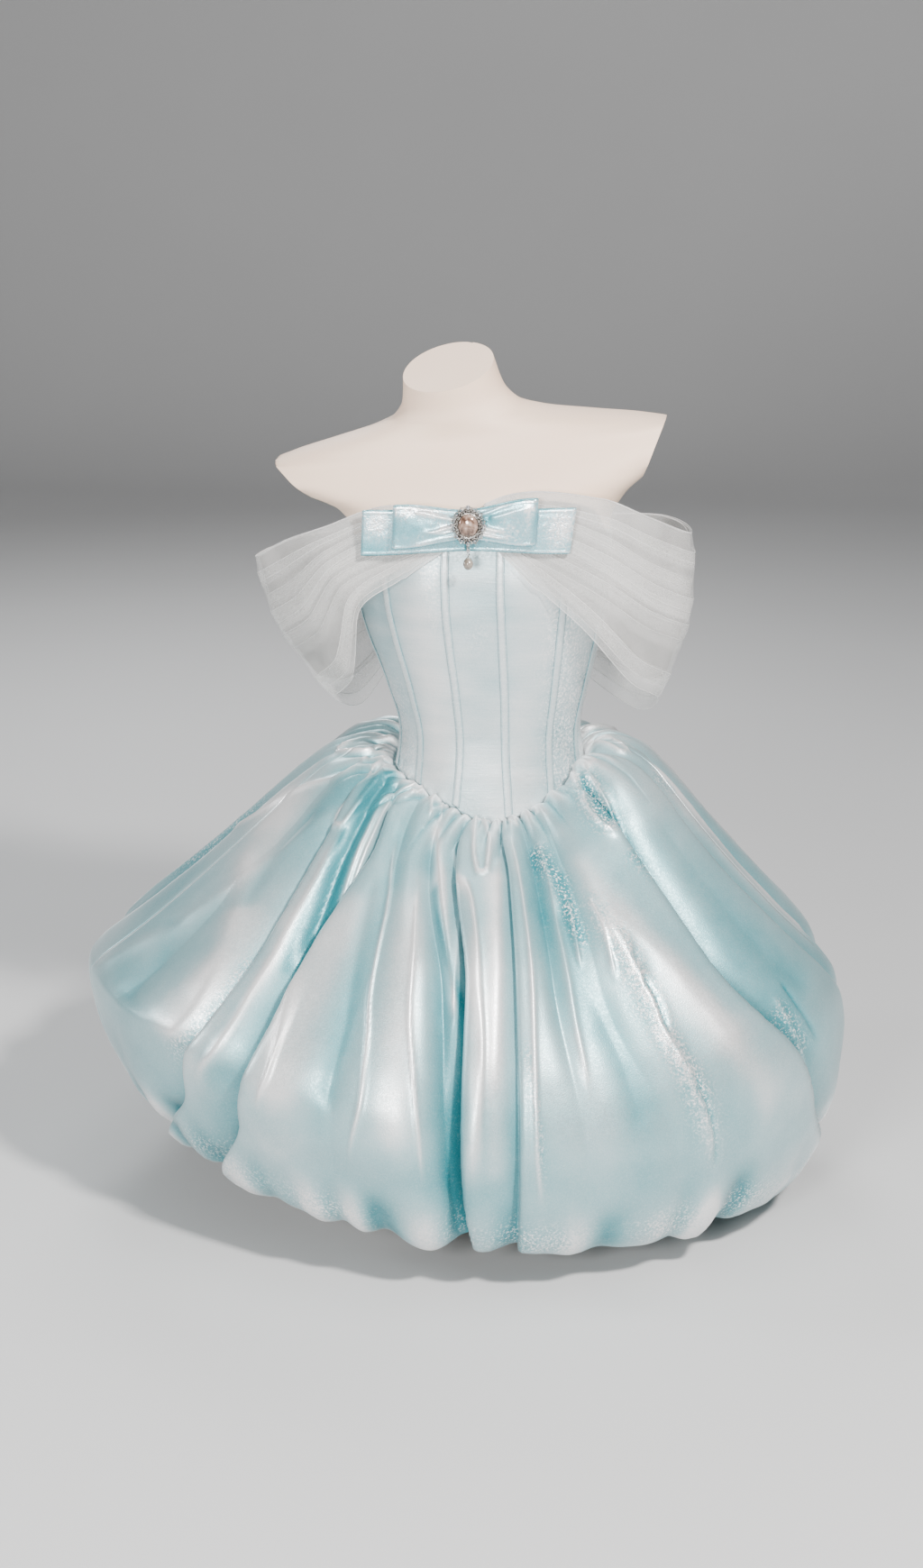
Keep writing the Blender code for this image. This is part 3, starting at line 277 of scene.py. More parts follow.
# Small closed loops of puffed cloth under the waist seam: the height, half width and the points round each
PUFFS = [
    Crease(0.0052, 0.0030, [(-76, .04), (-66, .09), (-58, .14), (-54, .20), (-51, .245),
                            (-48, .265), (-45.5, .25), (-47, .20), (-52, .13), (-66, .05)]),
    Crease(0.0046, 0.0028, [(-104, .03), (-99, .08), (-98, .14), (-93, .175), (-86, .15),
                            (-84, .10), (-92, .05)]),
    Crease(0.0048, 0.0024, [(-3, .05), (1, .14), (4.5, .24), (7, .285), (9.5, .27),
                            (9.5, .19), (5, .09), (0, .04)]),
    Crease(0.0040, 0.0020, [(-32, .03), (-27, .08), (-22.5, .115), (-18.5, .115), (-21, .07), (-27, .03)]),
    Crease(0.0034, 0.0020, [(-49, .02), (-43, .05), (-39, .075), (-36.5, .065), (-40, .035), (-46, .012)]),
    Crease(0.0030, 0.0018, [(17, .03), (19, .07), (21, .10), (23, .095), (22.5, .06), (20, .03)]),
    Crease(0.0030, 0.0018, [(30, .03), (30.5, .07), (32, .10), (34, .085), (34, .05), (32.5, .025)]),
    Crease(0.0040, 0.0026, [(98, .02), (93, .07), (86, .12), (82, .15), (80, .13), (84, .085), (92, .03)]),
    Crease(0.0034, 0.0022, [(70, .03), (67, .07), (65, .11), (62.5, .11), (63, .07), (66, .03)]),
    Crease(0.0038, 0.0024, [(122, .03), (121, .09), (120, .15), (117.5, .16), (116.5, .11), (118.5, .04)]),
    Crease(0.0034, 0.0022, [(147, .03), (148.5, .08), (150, .13), (152, .125), (152, .07), (150, .03)]),
    Crease(0.0040, 0.0026, [(178, .03), (176, .09), (175, .16), (172.5, .17), (172.5, .10), (175, .035)]),
    Crease(0.0036, 0.0022, [(-137, .03), (-136, .09), (-134, .15), (-131.5, .14), (-132, .08), (-134, .03)]),
    Crease(0.0034, 0.0022, [(-161, .03), (-160, .08), (-158, .12), (-155.5, .12), (-157, .06), (-159, .03)]),
]

# Broad stretches of painted highlight (paler) and painted shade (deeper) on the satin, as (angle, arc) paths:
# the change of tone and the half width in metres
SHADE_AND_HIGHLIGHT_PATHS = [
    Crease(0.30, 0.046, [(-72, .30), (-51, .46), (-43, .56), (-45, .80)]),
    Crease(-0.26, 0.024, [(-62, .14), (-58, .26), (-54, .44)]),
    Crease(-0.16, 0.040, [(-84, .50), (-74, .64), (-64, .74), (-60, .86)]),
    Crease(-0.20, 0.016, [(-40, .50), (-37, .66), (-39, .82)]),
    Crease(-0.90, 0.0110, [(-56, .06), (-49, .14), (-43, .22), (-39, .31), (-35, .42), (-32.5, .54)]),
    Crease(0.30, 0.030, [(-26, .40), (-24, .58), (-24, .78)]),
    Crease(-0.16, 0.018, [(-19, .30), (-16, .56), (-16, .82)]),
    Crease(0.30, 0.026, [(-9, .30), (-5, .54), (-3, .80)]),
    Crease(-0.60, 0.0060, [(-6, .32), (3, .50), (8, .64), (9.6, .78), (10, .90)]),
    Crease(0.30, 0.016, [(12, .30), (13, .54), (13.5, .84)]),
    Crease(-0.20, 0.034, [(24, .26), (28, .54), (34, .68), (37, .86)]),
    Crease(0.22, 0.018, [(38, .20), (40, .36), (46, .50), (51, .62), (54, .74), (58, .84)]),
    Crease(-0.16, 0.030, [(44, .16), (46, .36), (50, .50), (56, .66)]),
    Crease(-0.06, 0.045, [(62, .22), (63, .36), (66, .52), (72, .70)]),
    Crease(-0.45, 0.0055, [(55, .22), (55.5, .36), (57.5, .52), (60.5, .66), (66, .78)]),
    Crease(0.30, 0.020, [(83, .24), (85, .44), (90, .64)]),
    Crease(0.26, 0.030, [(118, .30), (120, .60)]),
    Crease(-0.26, 0.030, [(134, .30), (136, .66)]),
    Crease(0.26, 0.030, [(152, .26), (152, .66)]),
    Crease(0.26, 0.030, [(-176, .26), (-176, .66)]),
    Crease(-0.26, 0.030, [(-163, .30), (-164, .66)]),
    Crease(0.26, 0.030, [(-147, .26), (-147, .66)]),
    Crease(0.26, 0.030, [(-116, .30), (-116, .66)]),
    Crease(-0.24, 0.026, [(-104, .26), (-103, .60)]),
]

# Stretches of the skirt where the cloth is finely crushed, with painted glints: white specks painted into its
# colour over a darker base, as (angle, arc) paths: how strongly, and the half width in metres
GLINTS = [
    Crease(1.0, 0.015, [(37, .30), (39, .44), (41, .54), (42, .62),
                        (43, .68), (45, .75), (47, .82), (50, .90)]),
    Crease(0.9, 0.014, [(58, .07), (55, .14), (52, .22), (52, .28)]),
    Crease(0.5, 0.010, [(52, .30), (54, .36), (55.5, .40)]),
    Crease(0.8, 0.009, [(31.5, .30), (32, .40), (33, .50)]),
    Crease(0.8, 0.010, [(27, .18), (29, .26), (34, .36)]),
    Crease(0.45, 0.012, [(67, .70), (68.5, .78), (71, .84)]),
    Crease(0.5, 0.010, [(80, .21), (85, .28)]),
    Crease(0.55, 0.014, [(-43, .50), (-42, .62), (-45, .76), (-50, .86)]),
    Crease(0.35, 0.006, [(19, .62), (20, .76), (21, .88)]),
    Crease(0.4, 0.012, [(149, .30), (149, .48), (151, .62)]),
    Crease(0.4, 0.012, [(-149, .34), (-147, .46), (-149, .66)]),
    Crease(0.35, 0.010, [(-98, .30), (-96, .46), (-98, .60)]),
]

# The tulle drapes from the bow round the side to the back: each row is a point of the top edge, a point
# of the lower edge, and how far the cloth between them bulges
DRAPE_ALONG = (0.0, 0.15, 0.32, 0.42, 0.50, 0.68, 0.85, 1.0)
DRAPE_RIGHT = np.array([
    (0.038, -0.1045, 0.880, 0.038, -0.1050, 0.844, 0.000),
    (0.100, -0.1020, 0.899, 0.092, -0.1060, 0.792, 0.002),
    (0.172, -0.0860, 0.889, 0.168, -0.1080, 0.722, 0.010),
    (0.225, -0.0550, 0.862, 0.208, -0.0700, 0.664, 0.014),
    (0.272, 0.0000, 0.834, 0.236, -0.0150, 0.634, 0.016),
    (0.235, 0.0950, 0.835, 0.205, 0.0900, 0.590, 0.016),
    (0.130, 0.1250, 0.826, 0.120, 0.1280, 0.640, 0.008),
    (0.060, 0.1100, 0.806, 0.060, 0.1100, 0.770, 0.000),
]).T
DRAPE_LEFT = np.array([
    (0.004, -0.1045, 0.870, 0.004, -0.1050, 0.834, 0.000),
    (-0.066, -0.1010, 0.8785, -0.055, -0.1050, 0.793, 0.002),
    (-0.150, -0.0840, 0.848, -0.106, -0.1100, 0.750, 0.010),
    (-0.205, -0.0480, 0.822, -0.114, -0.0980, 0.672, 0.014),
    (-0.247, 0.0000, 0.793, -0.148, -0.0300, 0.626, 0.018),
    (-0.205, 0.0900, 0.800, -0.132, 0.0750, 0.590, 0.016),
    (-0.110, 0.1200, 0.806, -0.095, 0.1200, 0.640, 0.008),
    (-0.015, 0.1100, 0.800, -0.015, 0.1100, 0.764, 0.000),
]).T
DRAPE_REST = CHANNEL_OUT + CHANNEL_WALL + 0.0013
DRAPE_HOLD = 0.14


def read(places, values, at):
    """A smooth curve through values at rising places, with no overshoot."""
    places, values = np.asarray(places, float), np.asarray(values, float)
    at = np.clip(at, places[0], places[-1])
    rise = np.diff(values) / np.diff(places)
    product = rise[:-1] * rise[1:]
    total = np.where(product > 0, rise[:-1] + rise[1:], 1.0)
    slope = np.concatenate(([rise[0]], np.where(product > 0, 2 * product / total, 0.0), [rise[-1]]))
    low = np.clip(np.searchsorted(places, at, side="right") - 1, 0, len(places) - 2)
    step = places[low + 1] - places[low]
    t = (at - places[low]) / step
    return ((2 * t**3 - 3 * t**2 + 1) * values[low] + (t**3 - 2 * t**2 + t) * step * slope[low]
            + (3 * t**2 - 2 * t**3) * values[low + 1] + (t**3 - t**2) * step * slope[low + 1])


def ease(t):
    """A smooth step from 0 to 1."""
    t = np.clip(t, 0.0, 1.0)
    return t * t * (3 - 2 * t)


def unit(vectors):
    """Vectors made one long."""
    return vectors / np.maximum(np.linalg.norm(vectors, axis=-1, keepdims=True), 1e-9)


def oval_radius(angle, width, depth, squareness=2.0):
    """The radius of a rounded rectangle or oval at an angle from the front."""
    return (np.abs(np.sin(angle) / width) ** squareness
            + np.abs(np.cos(angle) / depth) ** squareness) ** (-1 / squareness)


HEIGHTS = [row.height for row in FIGURE]


def figure_point(height, angle, out=0.0):
    """Points of the figure's surface at levels and angles, moved out by a distance."""
    height, angle = np.broadcast_arrays(np.asarray(height, float), np.asarray(angle, float))

    def level(name):
        return read(HEIGHTS, [getattr(row, name) for row in FIGURE], height)

    depth = np.where(np.cos(angle) > 0, level("front"), level("back"))
    radius = oval_radius(angle, level("width"), depth, level("squareness")) + out
    x = radius * np.sin(angle)
    y = -radius * np.cos(angle)
    cut = np.maximum(ARMPIT_HALF_WIDTH,
                     SHOULDER_CUT_HALF_WIDTH - SHOULDER_CUT_SLOPE * (SHOULDER_CUT_HEIGHT - height))
    x = np.clip(x, -cut, cut)
    across = (np.abs(x) - BUST_SPACING) / BUST_WIDTH
    up = (height - BUST_HEIGHT) / BUST_TALLNESS
    y = y - np.where(y < 0, BUST_RISE * np.exp(-up**2 - across**2), 0.0)
    z = height + level("tilt") * x + level("lean") * y
    return np.stack([level("middle_x") + x, level("middle_y") + y, z], axis=-1)


def turned_by(degrees):
    """An angle in degrees brought between -180 and 180."""
    return (degrees + 180) % 360 - 180


def side_angle(angle):
    """The angle from the front in degrees, the same on both sides."""
    return np.abs(turned_by(np.degrees(angle)))


def neckline(angle):
    """The bodice's top level at an angle."""
    return read(EDGE_ANGLES, NECKLINE, side_angle(angle))


def waistline(angle):
    """The bodice's lower level at an angle, lowest at the front point."""
    turned = angle - FRONT_POINT_TURN * np.maximum(0.0, np.cos(angle))
    return read(EDGE_ANGLES, WAISTLINE, side_angle(turned))


def seam_angle(index, along):
    """A seam's angle on the right half, from the waistline at 0 to the neckline at 1."""
    if index > len(SEAMS):
        return np.full_like(along, pi)
    row = SEAMS[index - 1]
    return np.radians(read((0.0, 0.25, 1.0), (row.waistline, row.waist, row.neckline), along))


def bodice_point(angle, along, out):
    """Points between the waistline and the neckline, moved out square to the figure."""
    low = waistline(angle)
    height = low + (neckline(angle) - low) * along
    aside = figure_point(height, angle + 0.01) - figure_point(height, angle - 0.01)
    up = figure_point(height + 0.002, angle) - figure_point(height - 0.002, angle)
    normal = unit(np.cross(aside, up))
    return figure_point(height, angle) + normal * np.asarray(out)[..., None]


PATH_STEPS = 4
FAR_AWAY = 9.0


def smooth_path(points):
    """A path's points with rounder turns between them."""
    fine = np.linspace(0, len(points) - 1, (len(points) - 1) * PATH_STEPS + 1)
    return list(zip(*(read(range(len(points)), column, fine) for column in zip(*points))))


def near_path(crease, turn, arc, radius):
    """The distance in metres from places on the skirt to a crease, and how far along it they are."""
    points = smooth_path(crease.points)
    best = np.full(turn.shape, FAR_AWAY)
    place = np.zeros(turn.shape)
    for index, (start, end) in enumerate(zip(points, points[1:])):
        ax = np.radians(turned_by(start[0] - turn)) * radius
        ay = (start[1] - arc) * SKIRT_LENGTH
        dx = np.radians(end[0] - start[0]) * radius
        dy = (end[1] - start[1]) * SKIRT_LENGTH
        t = np.clip(-(ax * dx + ay * dy) / np.maximum(dx * dx + dy * dy, 1e-9), 0, 1)
        gap = np.hypot(ax + t * dx, ay + t * dy)
        nearer = gap < best
        best = np.where(nearer, gap, best)
        place = np.where(nearer, (index + t) / (len(points) - 1), place)
    return best, place


def near_ends(place, length):
    """How far a crease has faded in from both of its ends."""
    return ease(place / length) * ease((1 - place) / length)


# Meshes

def new_object(name, verts, faces, material):
    """A smooth mesh object that rides on the dress and has one finish."""
    mesh = bpy.data.meshes.new(name)
    mesh.from_pydata(verts, [], faces)
    mesh.update()
    thing = bpy.data.objects.new(name, mesh)
    bpy.context.scene.collection.objects.link(thing)
    mesh.materials.append(material)
    mesh.shade_smooth()
    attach(thing, "dress")
    return thing


def face_outward(thing):
    """Turn the faces of a closed mesh outward."""
    bm = bmesh.new()
    bm.from_mesh(thing.data)
    bmesh.ops.recalc_face_normals(bm, faces=bm.faces[:])
    bm.to_mesh(thing.data)
    bm.free()


def grid_faces(rows, columns, round_about=False):
    """The quads of a grid of points."""
    faces = []
    last = columns if round_about else columns - 1
    for row in range(rows - 1):
        here = row * columns
        for column in range(last):
            after = (column + 1) % columns
            faces.append((here + column, here + after, here + columns + after, here + columns + column))
    return faces


def grid_places(rows, columns, along=(0.0, 1.0), across=(0.0, 1.0)):
    """The places along and across a grid of rows of points with columns of cells between them."""
    return np.meshgrid(np.linspace(*along, rows), np.linspace(*across, columns + 1), indexing="ij")


def cloth_object(name, points, wall, side, material, maps, flip=False):
    """A cloth piece over a grid of points, with a wall, a UV map in metres and named values."""
    rows, columns = points.shape[:2]
    faces = grid_faces(rows, columns)
    if flip:
        faces = [face[::-1] for face in faces]
    thing = new_object(name, points.reshape(-1, 3).tolist(), faces, material)
    mesh = thing.data
    for key, values in maps.items():
        layer = mesh.attributes.new(key, "FLOAT", "POINT")
        layer.data.foreach_set("value", np.ascontiguousarray(values, dtype=np.float32).ravel())
    across = np.linalg.norm(np.diff(points, axis=1), axis=-1)
    along = np.linalg.norm(np.diff(points, axis=0), axis=-1)
    u = np.concatenate([np.zeros((rows, 1)), np.cumsum(across, axis=1)], axis=1)
    v = np.concatenate([np.zeros((1, columns)), np.cumsum(along, axis=0)], axis=0)
    cut = np.stack([u - u.mean(axis=1, keepdims=True), v], axis=-1).reshape(-1, 2)
    corner = np.zeros(len(mesh.loops), dtype=np.int32)
    mesh.loops.foreach_get("vertex_index", corner)
    layer = mesh.uv_layers.new(name="cut")
    layer.data.foreach_set("uv", cut[corner].astype(np.float32).ravel())
    solid = thing.modifiers.new("Wall", "SOLIDIFY")
    solid.thickness = wall
    solid.offset = side
    return thing


def strand_noise(points, scale, seed, stretch=(1.0, 1.0, 1.0)):
    """Smooth noise from -1 to 1 at each point of a grid."""
    flat = points.reshape(-1, 3) * (np.array(stretch) * scale) + seed
    return np.array([noise.noise(Vector(p)) for p in flat.tolist()]).reshape(points.shape[:-1])


# Finishes

class Signal:
    """A shader socket that works in arithmetic."""

    def __init__(self, finish, socket):
        self.finish = finish
        self.socket = socket

    def __add__(self, other):
        return self.finish.math("ADD", self, other)

    def __sub__(self, other):
        return self.finish.math("SUBTRACT", self, other)

    def __mul__(self, other):
        return self.finish.math("MULTIPLY", self, other)


class Finish:
    """One Principled material, built from nodes."""

    def __init__(self, name, **constants):
        self.material = bpy.data.materials.new(name)
        self.material.use_nodes = True
        self.tree = self.material.node_tree
        self.shader = self.tree.nodes["Principled BSDF"]
        for key, value in constants.items():
            self.shader.inputs[key.replace("_", " ").title().replace("Ior", "IOR")].default_value = value

    def feed(self, socket, value):
        """Link a signal to a socket, or set a plain value."""
        if isinstance(value, Signal):
            self.tree.links.new(value.socket, socket)
        else:
            socket.default_value = value

    def node(self, kind, settings=None, sockets=None, output=0):
        """A node of a kind, with its settings and then its sockets set."""
        made = self.tree.nodes.new(kind)
        for key, value in (settings or {}).items():
            if key == "stops":
                elements = made.color_ramp.elements
                elements.remove(elements[1])
                for index, (place, colour) in enumerate(value):
                    element = elements.new(place) if index else elements[0]
                    element.position = place
                    element.color = (*colour, 1.0)
            else:
                setattr(made, key, value)
        for key, value in (sockets or {}).items():
            self.feed(made.inputs[key], value)
        return Signal(self, made.outputs[output])

    def math(self, operation, first, second):
        """One Math node."""
        return self.node("ShaderNodeMath", {"operation": operation}, {0: first, 1: second})

    def value(self, name):
        """A named value of the mesh."""
        return self.node("ShaderNodeAttribute", {"attribute_name": name}, output="Fac")

    def place(self):
        """The position in the piece's own coordinates."""
        return self.node("ShaderNodeTexCoord", output="Object")

    def noise(self, where, scale, detail=2.0, roughness=0.5):
        """Cloudy noise from 0 to 1."""
        sockets = {"Vector": where, "Scale": scale, "Detail": detail, "Roughness": roughness}
        return self.node("ShaderNodeTexNoise", None, sockets, "Fac")

    def stretched(self, where, scale):
        """A position stretched along each axis."""
        return self.node("ShaderNodeMapping", None, {"Vector": where, "Scale": scale})

    def ramp(self, value, stops):
        """A colour read from a ramp."""
        return self.node("ShaderNodeValToRGB", {"stops": stops}, {"Fac": value}, "Color")

    def limits(self, value, low, high, to_low=0.0, to_high=1.0):
        """A value mapped from one range to another and held inside it."""
        sockets = {"Value": value, "From Min": low, "From Max": high, "To Min": to_low, "To Max": to_high}
        return self.node("ShaderNodeMapRange", {"clamp": True}, sockets)

    def mix(self, factor, first, second):
        """Two colours mixed."""
        return self.node("ShaderNodeMix", {"data_type": "RGBA"}, {0: factor, 6: first, 7: second}, 2)

    def bump(self, height, distance, strength):
        """A bump from a height."""
        sockets = {"Height": height, "Distance": distance, "Strength": strength}
        return self.node("ShaderNodeBump", None, sockets)

    def set(self, **signals):
        """Link signals to the shader's sockets."""
        for key, value in signals.items():
            self.feed(self.shader.inputs[key.replace("_", " ").title()], value)


# The satin's painted glints, white specks mixed into its colour, and the places of its four colours from
# painted shade to painted highlight
SPECK_LIMITS = (0.56, 0.62)
GLINT_COLOUR = (1.0, 0.98, 0.98, 1.0)
SATIN_PLACES = (0.0, 0.30, 0.62, 0.98)


def satin_finish(name, colours, rough, slubs=0.0):
    """Ice-blue satin: painted shade in teal in its folds, painted highlight pale on its ridges, and painted
    glints as fine white specks.
    """
    made = Finish(name, sheen_weight=0.25, sheen_roughness=0.30, specular_ior_level=0.7,
                  sheen_tint=(0.98, 0.94, 0.96, 1.0), coat_weight=0.22, coat_roughness=0.30)
    where = made.place()
    # This value is painted shading: low where painted shade is put in folds and grooves, high where painted
    # highlight is put on ridges
    painted_shading_and_tone = made.value("painted_shading_and_tone")
    glint = made.value("glint")
    cloud = made.noise(where, 7.0, 3.0)
    mottle = made.noise(where, 46.0, 3.0, 0.6)
    grain = made.noise(where, 800.0, 1.0)
    speck = made.noise(where, 330.0, 2.0, 0.7)
    weave = made.noise(made.stretched(where, (26.0, 26.0, 520.0)), 1.0, 3.0, 0.7)
    level = (painted_shading_and_tone + (cloud - 0.5) * 0.22 + (mottle - 0.5) * 0.12 + (grain - 0.5) * 0.30
             + (weave - 0.5) * (0.30 * slubs) + (speck - 0.5) * glint * 2.4)
    # White specks mixed into the colour: painted glints
    painted_glints = made.limits(speck, *SPECK_LIMITS) * (glint * 1.3 + 0.05)
    colour = made.mix(painted_glints, made.ramp(level, list(zip(SATIN_PLACES, colours))), GLINT_COLOUR)
    height = grain * 0.6 + speck * (glint * 2.2 + 0.25) + weave * slubs
    made.set(base_color=colour, metallic=made.limits(painted_shading_and_tone, 0.1, 0.8, 0.25, 0.50),
             roughness=made.limits(speck + glint * 0.2, 0.35, 0.8, rough + 0.08, rough - 0.10),
             normal=made.bump(height, 0.0006, 0.45))
    return made.material


# Each satin's colours run from painted shade in its deepest folds, through its own ice blue, to painted
# highlight on its lightest ridges
SKIRT_COLOURS = [(0.010, 0.205, 0.245), (0.150, 0.375, 0.415), (0.380, 0.560, 0.595), (0.860, 0.865, 0.870)]
BODICE_COLOURS = [(0.100, 0.290, 0.330), (0.320, 0.490, 0.530), (0.560, 0.660, 0.685), (0.850, 0.855, 0.855)]
RIBBON_COLOURS = [(0.025, 0.220, 0.270), (0.120, 0.395, 0.460), (0.400, 0.620, 0.690), (0.980, 0.980, 0.980)]
satin = satin_finish("ice_blue_satin", SKIRT_COLOURS, 0.38)
bodice_satin = satin_finish("ice_blue_satin_bodice", BODICE_COLOURS, 0.42, slubs=0.8)
ribbon_satin = satin_finish("ice_blue_satin_ribbon", RIBBON_COLOURS, 0.26)


def cream_finish():
    """The form's matt cream shell."""
    made = Finish("form_cream", specular_ior_level=0.35)
    where = made.place()
    cloud = made.noise(where, 4.0, 3.0)
    fine = made.noise(where, 240.0, 3.0)
    colour = made.mix(made.limits(cloud, 0.35, 0.65), (0.920, 0.690, 0.530, 1.0), (0.950, 0.740, 0.590, 1.0))
    made.set(base_color=colour, roughness=made.limits(fine, 0.3, 0.7, 0.50, 0.62),
             normal=made.bump(fine, 0.0002, 0.25))
    return made.material


def tulle_finish():
    """Fine white tulle: see-through, denser where it is doubled."""
    made = Finish("white_tulle", roughness=0.55, sheen_weight=0.35, sheen_roughness=0.4,
                  specular_ior_level=0.3)
    where = made.place()
    dense = made.value("dense")
    cloud = made.noise(where, 26.0, 2.0)
    net = made.noise(where, 520.0, 1.0)
    alpha = dense + (net - 0.5) * 0.20 + (cloud - 0.5) * 0.12
    colour = made.mix(dense, (0.860, 0.855, 0.835, 1.0), (0.960, 0.950, 0.930, 1.0))
    made.set(base_color=colour, alpha=made.limits(alpha, 0.0, 1.0, 0.03, 1.0),
             normal=made.bump(net, 0.0003, 0.15))
    return made.material


def tulle_edge_finish():
    """The folded edges of the tulle, where several layers lie together."""
    made = Finish("white_tulle_edge", roughness=0.5, sheen_weight=0.4, sheen_roughness=0.4)
    where = made.place()
    net = made.noise(where, 700.0, 1.0)
    broken = made.noise(where, 30.0, 2.0)
    made.set(base_color=made.mix(net, (0.900, 0.890, 0.875, 1.0), (1.0, 0.995, 0.985, 1.0)),
             alpha=made.limits(net * 0.5 + broken * 0.5, 0.30, 0.70, 0.20, 0.85))
    return made.material


def mottled_finish(name, scale, detail, stops, rough, lumps=None, **constants):
    """A finish whose colour and polish both follow one cloudy noise."""
    made = Finish(name, **constants)
    cloud = made.noise(made.place(), scale, detail)
    made.set(base_color=made.ramp(cloud, stops), roughness=made.limits(cloud, 0.3, 0.7, *rough))
    if lumps:
        made.set(normal=made.bump(cloud, *lumps))
    return made.material


def stone_finish():
    """The domed rose and champagne stone, mottled inside."""
    made = Finish("rose_stone", coat_weight=1.0, coat_roughness=0.03, specular_ior_level=0.7)
    where = made.place()
    cloud = made.noise(where, 130.0, 4.0, 0.6)
    streak = made.noise(where, 46.0, 2.0)
    colour = made.ramp(cloud * 0.6 + streak * 0.4,
                       [(0.38, (0.045, 0.024, 0.017)), (0.47, (0.200, 0.115, 0.080)),
                        (0.55, (0.440, 0.300, 0.235)), (0.66, (0.820, 0.720, 0.650))])
    made.set(base_color=colour, roughness=made.limits(cloud, 0.3, 0.7, 0.22, 0.08), metallic=0.25)
    return made.material


def thread_finish():
    """Sewing thread, a little darker than the satin."""
    made = Finish("blue_thread", roughness=0.6)
    where = made.place()
    ply = made.noise(made.stretched(where, (900.0, 900.0, 400.0)), 1.0, 1.0)
    made.set(base_color=made.ramp(ply, [(0.3, (0.22, 0.36, 0.41)), (0.7, (0.42, 0.56, 0.60))]),
             normal=made.bump(ply, 0.0002, 0.5))
    return made.material


cream = cream_finish()
tulle = tulle_finish()
tulle_edge = tulle_edge_finish()
# Antiqued silver, bright where it is rubbed and dark in its recesses
SILVER = [(0.36, (0.050, 0.043, 0.038)), (0.50, (0.480, 0.445, 0.405)), (0.62, (0.950, 0.930, 0.900))]
DARK_SILVER = [(0.36, (0.008, 0.007, 0.006)), (0.50, (0.026, 0.022, 0.019)), (0.62, (0.090, 0.080, 0.070))]
METAL_ROUGH = (0.40, 0.16)
METAL_LUMPS = (0.0003, 0.6)
metal = mottled_finish("antique_silver", 420.0, 3.0, SILVER, METAL_ROUGH, METAL_LUMPS, metallic=1.0)
recess = mottled_finish("antique_silver_recess", 420.0, 3.0, DARK_SILVER, METAL_ROUGH, METAL_LUMPS,
                        metallic=1.0)
stone = stone_finish()
# Cut crystal with a foil back, its facet sparkle painted in as a dark-to-white mottle, and imitation pearl
# with a soft lustre
CRYSTAL_SPARKLE = [(0.35, (0.07, 0.07, 0.08)), (0.50, (0.46, 0.47, 0.50)), (0.62, (1.0, 1.0, 1.0))]
PEARL = [(0.35, (0.19, 0.155, 0.125)), (0.60, (0.33, 0.285, 0.240)), (0.80, (0.52, 0.480, 0.440))]
crystal = mottled_finish("crystal", 900.0, 1.0, CRYSTAL_SPARKLE, (0.12, 0.04), coat_weight=1.0, coat_roughness=0.02,
                         metallic=0.55)
pearl = mottled_finish("pearl", 160.0, 2.0, PEARL, (0.26, 0.18), coat_weight=0.8, coat_roughness=0.10,
                       sheen_weight=0.3, sheen_roughness=0.3, metallic=0.12)
thread = thread_finish()


# Torso form

# The form's levels as (first, last, count), its columns, and where the shoulder cuts take them
FORM_LEVELS = [(0, 0.84, 50), (0.845, 0.925, 30), (0.9275, 0.985, 44), (0.9885, 1.028, 14)]
FORM_COLUMNS = 144
CUT_FIRST = radians(82)
CUT_LAST = radians(98)
CUT_COLUMNS = np.array([0, 0.38, 0.62, 1])
NECK_ROUNDING = 0.0016


def outline_angles(levels, columns):
    """Angles round each level, with columns along the edges of the shoulder cuts."""
    fine = np.linspace(radians(35), radians(145), 700)
    x = figure_point(levels[:, None], fine[None, :])[..., 0]
    middle = figure_point(levels, np.zeros_like(levels))[..., 0]
    widest = x - middle[:, None] >= (x.max(axis=1) - middle)[:, None] - 0.00002
    first = np.minimum(fine[np.argmax(widest, axis=1)], CUT_FIRST)
    last = np.maximum(fine[::-1][np.argmax(widest[:, ::-1], axis=1)], CUT_LAST)
    half = columns // 2
    rows = []
    for start, end in zip(first, last):
        right = np.interp(np.arange(half + 1), np.round(CUT_COLUMNS * half), [0, start, end, pi])
        rows.append(np.concatenate([right, -right[half - 1:0:-1]]))
    return np.array(rows)


def build_form():
    """The smooth torso with its neck cap and cut shoulders."""
    levels = np.concatenate([np.linspace(*row) for row in FORM_LEVELS])
    points = figure_point(levels[:, None], outline_angles(levels, FORM_COLUMNS))
    faces = grid_faces(len(levels), FORM_COLUMNS, True)
    count = len(levels) * FORM_COLUMNS
    faces.append(tuple(range(FORM_COLUMNS))[::-1])
    faces.append(tuple(range(count - FORM_COLUMNS, count)))
    form = new_object("dress_form", points.reshape(-1, 3).tolist(), faces, cream)
    bm = bmesh.new()
    bm.from_mesh(form.data)
    top = max(bm.faces, key=lambda face: face.calc_center_median().z)
    bmesh.ops.bevel(bm, geom=list(top.edges), offset=NECK_ROUNDING, segments=2, profile=0.6, affect="EDGES")
    bm.to_mesh(form.data)
    bm.free()
    form.data.shade_smooth()
    form.data.set_sharp_from_angle(angle=radians(42))
    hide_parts("torso_form")


# Bodice

def side_name(name, sign):
    """A name with its side."""
    return name + ("_right" if sign > 0 else "_left")


def bodice_relief(points, across):
    """The cloth's small relief over the boning: strained between the seams, puckered at them."""
    edge = np.minimum(across, 1 - across)
    pucker = strand_noise(points, 95.0, 3.0, (0.25, 0.25, 1.0)) * np.exp(-edge / 0.10) * 0.00045
    wide = strand_noise(points, 16.0, 7.0, (1.0, 1.0, 0.6)) * 0.0006 * ease(edge / 0.2)
    slack = strand_noise(points, 42.0, 11.0, (0.35, 0.35, 1.4)) * 0.00055 * ease(edge / 0.15)
    return pucker + wide + slack


